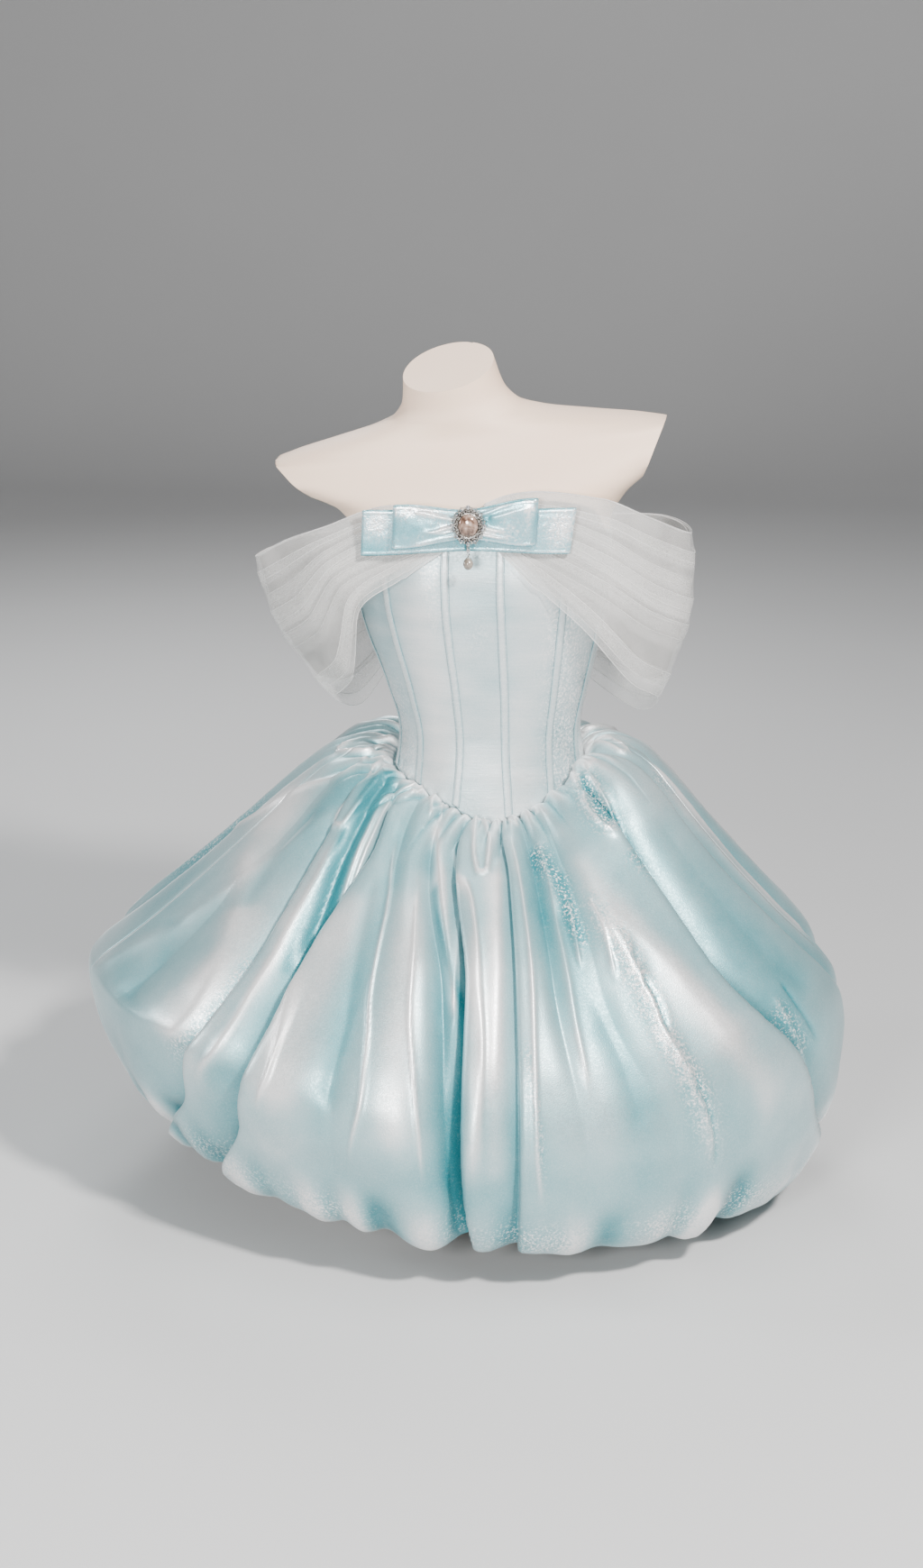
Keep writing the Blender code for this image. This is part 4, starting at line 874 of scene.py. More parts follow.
# The bodice's meshes, the depth of its seams, and the places of its stitches and its zip cover
PANEL_ROWS = 112
CENTRE_COLUMNS = 30
PANEL_COLUMNS = 32
PANEL_SKIN = 0.0012
SEAM_DIP = 0.0007
CHANNEL_ROWS = 150
CHANNEL_COLUMNS = 12
CHANNEL_SKIN = 0.0007
CHANNEL_LIFT = 0.0002
STITCH_PLACE = 0.74
STITCH_START = 0.016
STITCH_LIFT = 0.00082
ZIP_COVER_WIDTH = 0.013
ZIP_COVER_DIP = 0.0012


def build_panel(name, near, far, columns):
    """One bodice panel between two seams."""
    along, across = grid_places(PANEL_ROWS, columns)
    gap = SEAM_GAP / 2 / WAIST.width
    low, high = near(along) + gap, far(along) - gap
    angle = low + (high - low) * across
    plain = bodice_point(angle, along, np.full(angle.shape, BODICE_EASE + BODICE_WALL))
    edge = np.minimum(across, 1 - across) * (high - low) * 0.11
    relief = bodice_relief(plain, across) - SEAM_DIP * np.exp(-edge / 0.0022)
    points = bodice_point(angle, along, BODICE_EASE + BODICE_WALL + relief)
    # Painted shading: painted highlight on raised cloth, painted shade in the dips, along the seams and
    # towards the sides, painted glints at random, and a random cloudy tone
    painted_shading_and_tone = np.clip(0.70 + relief / 0.0040 - 0.20 * np.exp(-edge / 0.006), 0, 1)
    glint = np.clip(strand_noise(plain, 20.0, 23.0, (1.0, 1.0, 0.5)) * 1.2 - 0.25, 0, 0.4)
    aside = ease((np.abs(np.degrees(angle)) - 34) / 22)
    # Painted highlight streaks and painted glints on the side panels; they add no relief
    crushing_and_sheen = np.clip(strand_noise(plain, 11.0, 51.0, (1.0, 1.0, 0.35)) * 1.6, 0, 1) * aside
    cloud = strand_noise(plain, 12.0, 61.0, (1.0, 1.0, 0.45))
    maps = {"painted_shading_and_tone": np.clip(painted_shading_and_tone - 0.18 * aside + 0.34 * crushing_and_sheen + 0.34 * cloud, 0, 1),
            "glint": np.maximum(glint, crushing_and_sheen * 0.8)}
    panel = cloth_object("bodice_panel_" + name, points, PANEL_SKIN, -1.0, bodice_satin, maps)
    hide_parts("bodice_" + name)


def strip_half(middle, along, width):
    """Half the angle that a strip of a width takes up on the bodice."""
    base = np.full(middle.shape, CHANNEL_OUT)
    aside = bodice_point(middle + 0.01, along, base) - bodice_point(middle - 0.01, along, base)
    return 0.01 * width / np.linalg.norm(aside, axis=-1)


def build_channel(name, angle_of, node, width=CHANNEL_WIDTH, dip=0.0):
    """A boning channel: a strip with a rounded middle and two sewn edges."""
    along, across = grid_places(CHANNEL_ROWS, CHANNEL_COLUMNS, (0.0125, 0.9875), (-1, 1))
    middle = angle_of(along)
    angle = middle + across * strip_half(middle, along, width)
    crown = 0.0006 * (1 - np.abs(across) ** 4) - 0.0004 * np.exp(-((np.abs(across) - 0.72) / 0.13) ** 2)
    flat = bodice_point(angle, along, np.full(angle.shape, CHANNEL_OUT))
    lumps = strand_noise(flat, 150.0, 31.0, (0.3, 0.3, 1.0)) * 0.00016
    relief = crown + lumps - dip * np.exp(-(across / 0.12) ** 2)
    points = bodice_point(angle, along, CHANNEL_OUT + CHANNEL_LIFT + relief)
    # Painted highlight on the rounded crown, painted shade at the sewn edges, and a faint even painted glint
    maps = {"painted_shading_and_tone": np.clip(0.50 + crown / 0.0030 - 0.5 * ease((np.abs(across) - 0.84) / 0.16), 0, 1),
            "glint": np.full(angle.shape, 0.10)}
    strip = cloth_object(name, points, CHANNEL_SKIN, -1.0, bodice_satin, maps)
    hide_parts(node)


def stitches(name, lines, length=0.0021, pitch=0.0031, radius=0.00022):
    """Sewn stitches along lines of points, as small pointed threads."""
    verts, faces = [], []
    for line in lines:
        steps = np.linalg.norm(np.diff(line, axis=0), axis=1)
        total = np.concatenate(([0], np.cumsum(steps)))
        for start in np.arange(0.001, total[-1] - length, pitch):
            ends = [np.array([np.interp(start + part, total, line[:, k]) for k in range(3)])
                    for part in (0, length / 2, length)]
            way = Vector(ends[2] - ends[0]).normalized()
            out = way.orthogonal().normalized()
            aside = way.cross(out)
            base = len(verts)
            verts.append(tuple(ends[0]))
            for k in range(4):
                turn = k * pi / 2
                verts.append(tuple(Vector(ends[1]) + (out * cos(turn) + aside * sin(turn)) * radius))
            verts.append(tuple(ends[2]))
            for k in range(4):
                after = (k + 1) % 4
                faces.append((base, base + 1 + after, base + 1 + k))
                faces.append((base + 5, base + 1 + k, base + 1 + after))
    face_outward(new_object(name, verts, faces, thread))


def build_bodice():
    """Nine panels, eight boning channels, the zip strip and their stitching."""
    build_panel(PANELS[0], lambda t: -seam_angle(1, t), lambda t: seam_angle(1, t), CENTRE_COLUMNS)
    for index, name in enumerate(PANELS[1:], start=1):
        for sign in (1, -1):
            first, last = (index, index + 1)[::sign]
            build_panel(side_name(name, sign), lambda t: sign * seam_angle(first, t),
                        lambda t: sign * seam_angle(last, t), PANEL_COLUMNS)
    lines = []
    along = np.linspace(STITCH_START, 1 - STITCH_START, CHANNEL_ROWS)
    for index, row in enumerate(SEAMS, start=1):
        for sign in (1, -1):
            build_channel(side_name("channel_" + row.name, sign), lambda t: sign * seam_angle(index, t),
                          side_name("boning_" + row.name, sign))
            middle = sign * seam_angle(index, along)
            half = strip_half(middle, along, CHANNEL_WIDTH)
            for side in (-STITCH_PLACE, STITCH_PLACE):
                lines.append(bodice_point(middle + side * half, along,
                                          np.full(middle.shape, CHANNEL_OUT + STITCH_LIFT)))
    stitches("channel_stitching", lines)
    build_channel("zip_cover", lambda t: np.full_like(t, pi), "back_zip_strip", ZIP_COVER_WIDTH,
                  ZIP_COVER_DIP)


# Skirt

def fold_angle(row, arc):
    """A trough's angle at places along the section, in degrees."""
    return read(FOLD_LEVELS, (row.seam, row.upper, row.middle, row.hem, row.edge), arc)


def skirt_base(angle, arc):
    """The skirt's form without folds."""
    low = waistline(angle)
    waist = figure_point(low, angle, SEAM_INSET)
    ring = oval_radius(angle, SKIRT_HALF_WIDTH, SKIRT_HALF_DEPTH)
    reach = read(SECTION[0], SECTION[1], arc)
    height = read(SECTION[0], SECTION[2], arc)
    front = ease(np.clip((SEAM_LEVEL - low) / FRONT_DROP, 0, 1))
    height = height + (read(SECTION[0], SECTION[3], arc) - height) * front
    level = np.where(arc > HEM_ARC, 1.0, ease(reach / WAIST_REACH))
    z = (low - SEAM_LEVEL) * (1 - level) + height
    return np.stack([(1 - reach) * waist[..., 0] + reach * (SKIRT_MIDDLE_X + ring * np.sin(angle)),
                     (1 - reach) * waist[..., 1] - reach * ring * np.cos(angle), z], axis=-1)


def skirt_normal(angle, arc):
    """The outward direction of the skirt's form."""
    step = 0.004
    aside = skirt_base(angle + step, arc) - skirt_base(angle - step, arc)
    up = skirt_base(angle, np.minimum(1.0, arc + step)) - skirt_base(angle, np.maximum(0.0, arc - step))
    return unit(np.cross(up, aside))


def large_folds(turn, arc):
    """How far the large folds move the cloth out and along, and how far the hem is tucked.

    A flank narrower than CRISP_FLANK is a crisp one: its top leans over the trough.
    """
    push, slide, puff, tuck, share = (np.zeros_like(turn) for _ in range(5))
    for row in FOLDS:
        away = turned_by(turn - fold_angle(row, arc))
        near = np.exp(-((away / FOLD_REACH) ** 2))
        tuck += near * row.tuck
        puff += near * row.puff
        share += near
        depths = (row.gather / 2, row.gather, row.depth, row.hem_depth, row.hem_depth / 2)
        depth = read(DEPTH_LEVELS, depths, arc)
        slope = 1 + (np.where(away < 0, row.left, row.right) - 1) * ease(arc / FLANK_START)
        widen = np.maximum(LEAST_WIDENING, WAIST_WIDENING - WIDENING_LOSS * arc)
        off = np.abs(away) / (row.width * widen * slope)
        crisp = np.clip((CRISP_FLANK - slope) / 0.3, 0, 1)
        push -= depth * np.exp(-(off ** (1.3 + 1.2 * crisp)))
        slide -= np.sign(away) * crisp * FOLD_OVERLAP * depth * np.exp(-(((off - 1.25) / 0.70) ** 2))
    share = np.maximum(share, 0.2)
    return push, slide, puff / share, tuck / share


GATHER_COUNT = 54
GATHER_SINK = 0.60
GATHER_SWAY = 2.2
LONG_GATHER = 0.14
PUCKER_COUNT = 96
HEM_PUCKER = 0.0070
Gather = namedtuple("Gather", "start height length roundness")
Pucker = namedtuple("Pucker", "start height length width")
dice = Random(11)


def spread_round(kind, count, shift, *ranges):
    """Uneven rows round the seam: a start for each, then a value drawn from each range."""
    rows = []
    for number in range(count):
        start = -180 + 360 * (number + dice.uniform(-shift, shift)) / count
        rows.append(kind(start, *(dice.uniform(*limits) for limits in ranges)))
    return rows


GATHERS = spread_round(Gather, GATHER_COUNT, 0.30, (0.0034, 0.0084), (0.09, 0.24), (1.3, 2.4))
GATHERS = [row._replace(length=row.length + LONG_GATHER * (number % 4 == 0))
           for number, row in enumerate(GATHERS)]
PUCKERS = spread_round(Pucker, PUCKER_COUNT, 0.4, (0.0006, 0.0020), (0.05, 0.22), (0.5, 0.9))


def gathers(turn, arc):
    """The uneven gathers that run down from the waist seam: round cloth between sharp creases."""
    swayed = turn + GATHER_SWAY * np.sin(np.radians(turn * 7)) * ease(arc / 0.4)
    starts, heights, lengths, roundness = np.array(GATHERS).T
    ends = np.append(starts[1:], starts[0] + 360)
    angle = (swayed - starts[0]) % 360 + starts[0]
    index = np.clip(np.searchsorted(starts, angle, side="right") - 1, 0, GATHER_COUNT - 1)
    off = np.abs(2 * (angle - starts[index]) / (ends[index] - starts[index]) - 1)
    length = lengths[index]
    fade = ease((arc - 0.003) / 0.025) * (1 - ease(arc / length)) * (1 + 1.2 * arc / length)
    rounded = 1 - np.clip(off, 0, 1) ** roundness[index]
    relief = heights[index] * fade * (rounded - GATHER_SINK * ease(arc / 0.08))
    for row in PUCKERS:
        fade = ease((arc - 0.002) / 0.015) * (1 - ease(arc / row.length))
        relief += row.height * fade * np.exp(-(np.abs(turned_by(turn - row.start) / row.width) ** 1.5))
    return relief


def hem_puckers(turn, arc):
    """The small uneven scallops where the hem is drawn under."""
    wave = (0.55 * np.sin(np.radians(turn * 17 + 30)) + 0.45 * np.sin(np.radians(turn * 29 + 75))
            + 0.5 * np.sin(np.radians(turn * 41 + 10)) * np.sin(np.radians(turn * 5)))
    uneven = 0.5 + 0.5 * np.cos(np.radians(turn * 3 + 40)) ** 2
    return wave * HEM_PUCKER * ease((arc - 0.88) / 0.06) * uneven


def skirt_turns(left, right, columns, arcs):
    """Angles in degrees across a skirt piece, with its columns closer together over the folds and creases."""
    rows = []
    for arc in arcs:
        start, end = left(arc), right(arc)
        end += 360 if end < start else 0
        fine = np.linspace(start, end, 1600)
        weight = np.ones_like(fine)
        for row in FOLDS:
            away = turned_by(fine - fold_angle(row, arc))
            weight += FOLD_CROWDING * np.exp(-((away / (row.width * 0.9)) ** 2))
        for crease in CREASES:
            if crease.width < 0.006:
                angles, places = zip(*crease.points)
                weight += CREASE_CROWDING * np.exp(-(turned_by(fine - read(places, angles, arc)) ** 2))
        total = np.concatenate(([0], np.cumsum((weight[1:] + weight[:-1]) / 2)))
        rows.append(np.interp(np.linspace(0, total[-1], columns + 1), total, fine))
    return np.array(rows)


def skirt_creases(turn, arc, radius):
    """The relief of the creases and puffs, and the painted shade and highlight and the painted glints on the
    skirt.
    """
    relief, painted_light, glint = (np.zeros_like(turn) for _ in range(3))
    for crease in CREASES + PUFFS:
        gap, place = near_path(crease, turn, arc, radius)
        ends = near_ends(place, 0.12) if crease in CREASES else 1.0
        rise = crease.height * np.exp(-((gap / crease.width) ** 1.4)) * ends
        relief += rise
        painted_light -= BROAD_TONE_CUT * rise / RELIEF_TONE * (crease.width > BROAD_CREASE)
    for crease in SHADE_AND_HIGHLIGHT_PATHS:
        gap, _ = near_path(crease, turn, arc, radius)
        painted_light += crease.height * np.exp(-((gap / crease.width) ** 2))
    for crease in GLINTS:
        gap, place = near_path(crease, turn, arc, radius)
        strength = crease.height * near_ends(place, 0.25)
        painted_light -= GLINT_TONE * strength * np.exp(-((gap / crease.width / 1.25) ** 2))
        glint = np.maximum(glint, strength * np.exp(-((gap / crease.width) ** 2)))
    return relief, painted_light, glint


def build_skirt_piece(name, left, right, columns):
    """One skirt piece between two seams."""
    arcs = np.unique(np.concatenate([np.linspace(*row) for row in SKIRT_ARCS]))
    turn = skirt_turns(left, right, columns, arcs)
    arc = arcs[:, None] * np.ones_like(turn)
    radius = SEAM_RADIUS + RADIUS_GAIN * read(SECTION[0], SECTION[1], arc)
    apart = np.degrees(SEAM_GAP / 2 / radius)
    turn[:, 0] += apart[:, 0]
    turn[:, -1] -= apart[:, -1]
    angle = np.radians(turn)
    base = skirt_base(angle, arc)
    push, slide, puff, tuck = large_folds(turn, arc)
    start = ease((arc - SEAM_BAND) / FOLD_START)
    relief, painted_light, glint = skirt_creases(turn, arc, radius)
    relief += gathers(turn, arc)
    soft = (strand_noise(base, 7.0, 41.0, (1.0, 1.0, 0.6)) * LONG_WAVE
            + strand_noise(base, 17.0, 5.0) * SHORT_WAVE)
    fine = strand_noise(base, 62.0, 17.0, (1.0, 1.0, 0.8))
    # Painted glints along the hem's rim, in random patches
    patches = np.clip(0.35 + 0.9 * strand_noise(base, 11.0, 77.0), 0, 1)
    glint = np.maximum(glint, RIM_GLINT * np.exp(-(((arc - RIM_ARC) / 0.018) ** 2)) * patches)
    crushing_and_sheen = np.abs(fine) * glint * CRUSHED_HEIGHT + fine * GRAIN_HEIGHT
    away_from_seam = ease(arc / 0.10) * ease((turn - turn[:, :1]) / 2.0) * ease((turn[:, -1:] - turn) / 2.0)
    relief = relief * ease(arc / 0.02) + (soft + crushing_and_sheen) * away_from_seam + hem_puckers(turn, arc)
    aside = unit(skirt_base(angle + 0.004, arc) - skirt_base(angle - 0.004, arc))
    points = base + skirt_normal(angle, arc) * (start * (push + puff) + relief)[..., None]
    points = points + aside * (start * slide * away_from_seam)[..., None]
    drawn = tuck * ease((arc - TUCK_START) / TUCK_LENGTH)
    middle = np.stack([np.full_like(arc, TUCK_MIDDLE_X), np.zeros_like(arc), points[..., 2]], axis=-1)
    points = points + unit(middle - points) * drawn[..., None]
    points[..., 2] += drawn
    # Painted shading: painted shade in the troughs and grooves, painted highlight on the ridges, the painted
    # light paths added, and more painted shade under the hem and just below the waist seam
    painted_shading_and_tone = np.clip(PLAIN_TONE + painted_light + start * push / TROUGH_SHADE + relief / RELIEF_TONE, 0, 1)
    painted_shading_and_tone = painted_shading_and_tone * (1 - HEM_UNDER_SHADE * ease((arc - 0.955) / 0.03)) - SEAM_SHADE * np.exp(-arc / 0.012)
    maps = {"painted_shading_and_tone": np.clip(painted_shading_and_tone, 0, 1), "glint": glint}
    piece = cloth_object("bubble_" + name, points, SKIRT_WALL, 0.0, satin, maps, flip=True)
    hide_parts(name)
    return piece


def seam_between(index):
    """A skirt seam's angle as a function of the place along the section."""
    here, after = FOLDS[index], FOLDS[(index + 1) % len(FOLDS)]

    def at(arc):
        low, high = float(fold_angle(here, arc)), float(fold_angle(after, arc))
        high += 360 if high < low else 0
        middle = low + (high - low) * 0.5
        return middle if index == BACK_SEAM_FOLD else turned_by(middle)

    return at


def build_skirt():
    """The front and the two backs."""
    left, right, back = (seam_between(index) for index in (LEFT_SEAM_FOLD, RIGHT_SEAM_FOLD, BACK_SEAM_FOLD))
    front = build_skirt_piece("skirt_front", left, right, FRONT_COLUMNS)
    back_right = build_skirt_piece("skirt_back_right", right, back, BACK_COLUMNS)
    back_left = build_skirt_piece("skirt_back_left", lambda arc: back(arc) - 360, left, BACK_COLUMNS)


# Tulle drapes

# Pleats across a drape, from 0 at its top edge to 1 at its lower one: the place at the bow, at the side
# and at the back, the height in metres, the width, and how much denser the doubled cloth is
Pleat = namedtuple("Pleat", "bow side back height width dense")
PLEATS = {
    "outer": [
        Pleat(0.14, 0.12, 0.20, 0.0024, 0.070, 0.12),
        Pleat(0.34, 0.40, 0.30, 0.0034, 0.090, 0.14),
        Pleat(0.62, 0.56, 0.66, 0.0026, 0.060, 0.10),
        Pleat(0.74, 0.86, 0.80, 0.0030, 0.070, 0.12),
    ],
    "middle": [
        Pleat(0.18, 0.30, 0.14, 0.0024, 0.070, 0.12),
        Pleat(0.56, 0.48, 0.60, 0.0026, 0.060, 0.10),
        Pleat(0.84, 0.70, 0.74, 0.0022, 0.050, 0.10),
    ],
    "inner": [
        Pleat(0.24, 0.36, 0.50, 0.0026, 0.080, 0.10),
        Pleat(0.70, 0.60, 0.40, 0.0026, 0.070, 0.10),
    ],
}

TULLE_EDGE_WIDTH = 0.0011
TULLE_EDGE_HEIGHT = 0.0004
EDGE_POINTS = 170
TULLE_ROWS = 84
TULLE_COLUMNS = 84
PLEAT_SLOPES = (0.45, 1.5)

# Each layer's name, how far out it lies, how much of the depth it covers, and how dense its net is
LAYERS = (("outer", 0.0040, 1.00, 0.12), ("middle", 0.0015, 0.93, 0.10), ("inner", -0.0008, 0.84, 0.10))


def pleat_place(pleat, along):
    """How far down the drape a pleat's folded edge lies."""
    return read((0.0, 0.5, 1.0), (pleat.bow, pleat.side, pleat.back), along)


def drape_points(table, pleats, along, across, out, reach):
    """Points of a drape layer, how dense its pleated cloth is, and the way out at each point."""
    columns = [read(DRAPE_ALONG, row, along) for row in table]
    top = np.stack(columns[:3], axis=-1)
    low = np.stack(columns[3:6], axis=-1)
    point = top + (low - top) * (across * reach)[..., None]
    aside = point[..., 0] - BUST.middle_x
    resting = figure_point(point[..., 2] - BUST.tilt * aside, np.arctan2(aside, -point[..., 1]), DRAPE_REST)
    held = ease(1 - np.minimum(along, 1 - along) / DRAPE_HOLD)[..., None]
    point = point + (resting - point) * held
    middle = np.stack([np.full_like(along, BUST.middle_x), np.zeros_like(along), point[..., 2]], axis=-1)
    inside = np.linalg.norm(point - middle, axis=-1) < np.linalg.norm((resting - middle)[..., :2], axis=-1)
    point = np.where(inside[..., None], resting, point)
    away = unit((point - middle) * (1, 1, 0))
    relief = np.zeros_like(along)
    dense = np.zeros_like(along)
    fullness = np.sin(pi * along)
    for pleat in pleats:
        off = across - pleat_place(pleat, along)
        width = pleat.width * (0.55 + 0.75 * fullness)
        side = np.where(off < 0, *PLEAT_SLOPES)
        relief += pleat.height * np.exp(-(np.abs(off / (width * side)) ** 1.3)) * (0.25 + 0.75 * fullness)
        dense += pleat.dense * ease((off + 0.006) / 0.012) * ease((width * 1.3 - off) / 0.03)
    relief *= np.clip(np.linalg.norm(top - low, axis=-1) / 0.16, 0.15, 1.0)
    puffed = np.sin(pi * np.clip(across * reach, 0, 1)) * columns[6]
    shape = point + away * (puffed + relief + out)[..., None]
    wrinkle = strand_noise(shape, 14.0, 13.0 + out * 900) * 0.0018
    loose = ease(np.minimum(along, 1 - along) / 0.2)
    return shape + away * (wrinkle * loose)[..., None], dense, away


def folded_edges(name, table, pleats, out, reach):
    """The fine pale edges where a layer's cloth doubles back, and its two long edges."""
    along = np.linspace(0.004, 0.996, EDGE_POINTS)
    places = [pleat_place(pleat, along) for pleat in pleats]
    places += [place + pleat.width * 0.9 * np.sin(pi * along) for place, pleat in zip(places, pleats[:2])]
    places += [np.zeros_like(along), np.ones_like(along)]
    verts, faces = [], []
    for place in places:
        points, _, away = drape_points(table, pleats, along, np.clip(place, 0.001, 0.999), out, reach)
        aside = unit(np.cross(np.gradient(points, axis=0), away))
        first = len(verts)
        for number in range(EDGE_POINTS):
            for way, lift in ((-0.5, 0.0), (0.0, 1.0), (0.5, 0.0), (0.0, -0.4)):
                offset = aside[number] * way * TULLE_EDGE_WIDTH + away[number] * lift * TULLE_EDGE_HEIGHT
                verts.append((points[number] + offset).tolist())
        sides = grid_faces(EDGE_POINTS, 4, True)
        faces += [tuple(first + corner for corner in face) for face in sides]
        last = len(verts) - 4
        faces += [(first + 3, first + 2, first + 1, first), (last, last + 1, last + 2, last + 3)]
    lines = new_object(name, verts, faces, tulle_edge)
    face_outward(lines)
    return lines


def build_drape(side, table):
    """One off-shoulder drape: three layers of pleated tulle."""
    along, across = grid_places(TULLE_ROWS, TULLE_COLUMNS)
    gathered = 0.35 * np.exp(-np.minimum(along, 1 - along) / 0.07)
    for layer, out, reach, thin in LAYERS:
        points, dense, _ = drape_points(table, PLEATS[layer], along, across, out, reach)
        name = "tulle_" + side + "_" + layer
        maps = {"dense": np.clip(thin + dense + gathered, 0, 1)}
        piece = cloth_object(name, points, TULLE_WALL, 0.0, tulle, maps)
        lines = folded_edges(name + "_edges", table, PLEATS[layer], out, reach)
        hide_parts("drape_" + side)


# Bow

LoopRow = namedtuple("LoopRow", "name middle_x middle_z start reach tilt height pinch front_y gap skew")
LOOPS = [
    LoopRow("under_left", 0.0195, 0.8520, 0.0010, -0.1235, 1.9, 0.0530, 0.044, -0.1174, 0.0055, -0.004),
    LoopRow("under_right", 0.0195, 0.8520, 0.0010, 0.1235, 1.9, 0.0530, 0.044, -0.1174, 0.0055, 0.009),
    LoopRow("upper_left", 0.0195, 0.8625, 0.0020, -0.0860, 3.4, 0.0510, 0.034, -0.1289, 0.0085, -0.005),
    LoopRow("upper_right", 0.0195, 0.8625, 0.0020, 0.0820, 3.4, 0.0545, 0.034, -0.1289, 0.0085, 0.007),
]
# Creases in the upper loops: where each starts and ends on the way out from the knot, its place up the
# ribbon at both, its height in metres and its width
BowCrease = namedtuple("BowCrease", "loop start end near far height width")
BOW_CREASES = [
    BowCrease("upper_left", 0.00, 0.55, 0.66, 0.86, 0.0030, 0.070),
    BowCrease("upper_left", 0.14, 0.42, 0.50, 0.36, 0.0038, 0.050),
    BowCrease("upper_left", 0.10, 0.30, 0.34, 0.30, 0.0024, 0.035),
    BowCrease("upper_left", 0.00, 0.60, 0.20, 0.08, 0.0022, 0.060),
    BowCrease("upper_right", 0.00, 0.50, 0.74, 0.93, 0.0024, 0.060),
    BowCrease("upper_right", 0.02, 0.42, 0.52, 0.34, 0.0040, 0.050),
    BowCrease("upper_right", 0.06, 0.46, 0.24, 0.16, 0.0040, 0.045),
    BowCrease("upper_right", 0.40, 0.95, 0.70, 0.84, 0.0018, 0.080),
]
# Broad painted highlights and painted shade on the ribbon: the way out, the place up it, their half sizes,
# the change
BowTone = namedtuple("BowTone", "loop way up length height change")
BOW_SHADE_AND_HIGHLIGHT = [
    BowTone("under_left", 0.86, 0.72, 0.12, 0.30, 0.42),
    BowTone("under_left", 0.90, 0.15, 0.16, 0.25, -0.16),
    BowTone("under_right", 0.90, 0.60, 0.15, 0.42, 0.46),
    BowTone("upper_left", 0.66, 0.88, 0.34, 0.14, 0.46),
    BowTone("upper_left", 0.62, 0.40, 0.30, 0.26, -0.10),
    BowTone("upper_left", 0.28, 0.46, 0.10, 0.16, 0.40),
    BowTone("upper_right", 0.36, 0.68, 0.20, 0.18, -0.30),
    BowTone("upper_right", 0.66, 0.36, 0.22, 0.22, 0.12),
    BowTone("upper_right", 0.28, 0.30, 0.16, 0.10, 0.42),
    BowTone("upper_right", 0.88, 0.60, 0.06, 0.34, 0.26),
]


# The bow's mesh, its narrow hem, how sharp its creases are, and the knot
LOOP_RUN = 46
LOOP_TURN = 11
LOOP_COLUMNS = 44
HEM_PLACE = 0.05
HEM_HEIGHT = 0.00045
UPPER_SHARPNESS = 1.0
UNDER_SHARPNESS = 0.28
KNOT_MIDDLE = (0.0215, -0.1332, 0.8625)
KNOT_SIZE = (0.024, 0.0040, 0.036)


def build_loop(row, sharp):
    """One bow loop, pinched and creased towards the knot."""
    sign = 1 if row.reach > 0 else -1
    radius = row.gap / 2
    straight = abs(row.reach) - radius
    run = np.linspace(row.start, straight, LOOP_RUN)
    turn = np.linspace(0, pi, LOOP_TURN)[1:-1]
    flat = np.ones(LOOP_RUN)
    x = np.concatenate([run, straight + radius * np.sin(turn), run[::-1]])
    y = np.concatenate([flat * (row.front_y + row.gap), row.front_y + radius + radius * np.cos(turn),
                        flat * row.front_y])
    front = np.concatenate([flat * 0, np.linspace(0, 1, len(turn)), flat])
    _, across = grid_places(len(x), LOOP_COLUMNS)
    x, y, front = (values[:, None] * np.ones_like(across) for values in (x, y, front))
    way = x / abs(row.reach)
    height = row.pinch + (row.height - row.pinch) * ease(way * 1.15)
    relief = np.zeros_like(x)
    for crease in BOW_CREASES:
        if crease.loop == row.name:
            t = np.clip((way - crease.start) / (crease.end - crease.start), 0, 1)
            off = (across - crease.near - (crease.far - crease.near) * t) / crease.width
            fade = ease((way - crease.start + 0.08) / 0.08) * (1 - ease((way - crease.end) / 0.22))
            relief += crease.height * np.exp(-(np.abs(off) ** 1.4)) * fade * (1 - 0.4 * t)
    painted_light = np.zeros_like(x)
    for patch in BOW_SHADE_AND_HIGHLIGHT:
        if patch.loop == row.name:
            off = ((way - patch.way) / patch.length) ** 2 + ((across - patch.up) / patch.height) ** 2
            painted_light += patch.change * np.exp(-off)
    edge = np.minimum(across, 1 - across)
    hem = np.exp(-((edge - HEM_PLACE) / 0.018) ** 2) * HEM_HEIGHT
    place = np.stack([sign * x, y + front * 0.05, height * (across - 0.5)], axis=-1)
    crumple = (strand_noise(place, 42.0, 19.0 + row.reach * 40) * 0.0008 * sharp
               + strand_noise(place, 150.0, 2.0) * 0.0002)
    puff = 0.0030 * sharp * np.sin(pi * across) * np.sin(pi * np.clip(way, 0, 1)) * front
    push = (relief + hem + crumple) * (0.35 + 0.65 * front) + puff
    y = np.where(front < 0.5, y, y - push)
    x = sign * (x + row.skew * (across - 0.5) * ease(way / 0.8))
    z = height * (across - 0.5)
    tilt = -radians(row.tilt)
    points = np.stack([row.middle_x + x * cos(tilt) + z * sin(tilt), y,
                       row.middle_z - x * sin(tilt) + z * cos(tilt)], axis=-1)
    # Painted shading: painted highlight along the raised hem line and on the creases, painted shade at the
    # very edge and where the loop pinches into the knot, and the broad painted patches; the painted glints
    # follow them
    line = np.exp(-((edge - HEM_PLACE) / 0.016) ** 2) - np.exp(-edge / 0.012)
    painted_shading_and_tone = 0.44 + 1.15 * painted_light + (relief + crumple) / 0.0050 + 0.30 * line - 0.34 * np.exp(-way / 0.08)
    maps = {"painted_shading_and_tone": np.clip(painted_shading_and_tone, 0, 1), "glint": np.clip(0.10 + painted_light * 1.6 + crumple / 0.0020, 0, 0.9)}
    piece = cloth_object("bow_loop_" + row.name, points, RIBBON_WALL, 0.0, ribbon_satin, maps,
                         flip=sign < 0)
    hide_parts("bow_" + row.name)


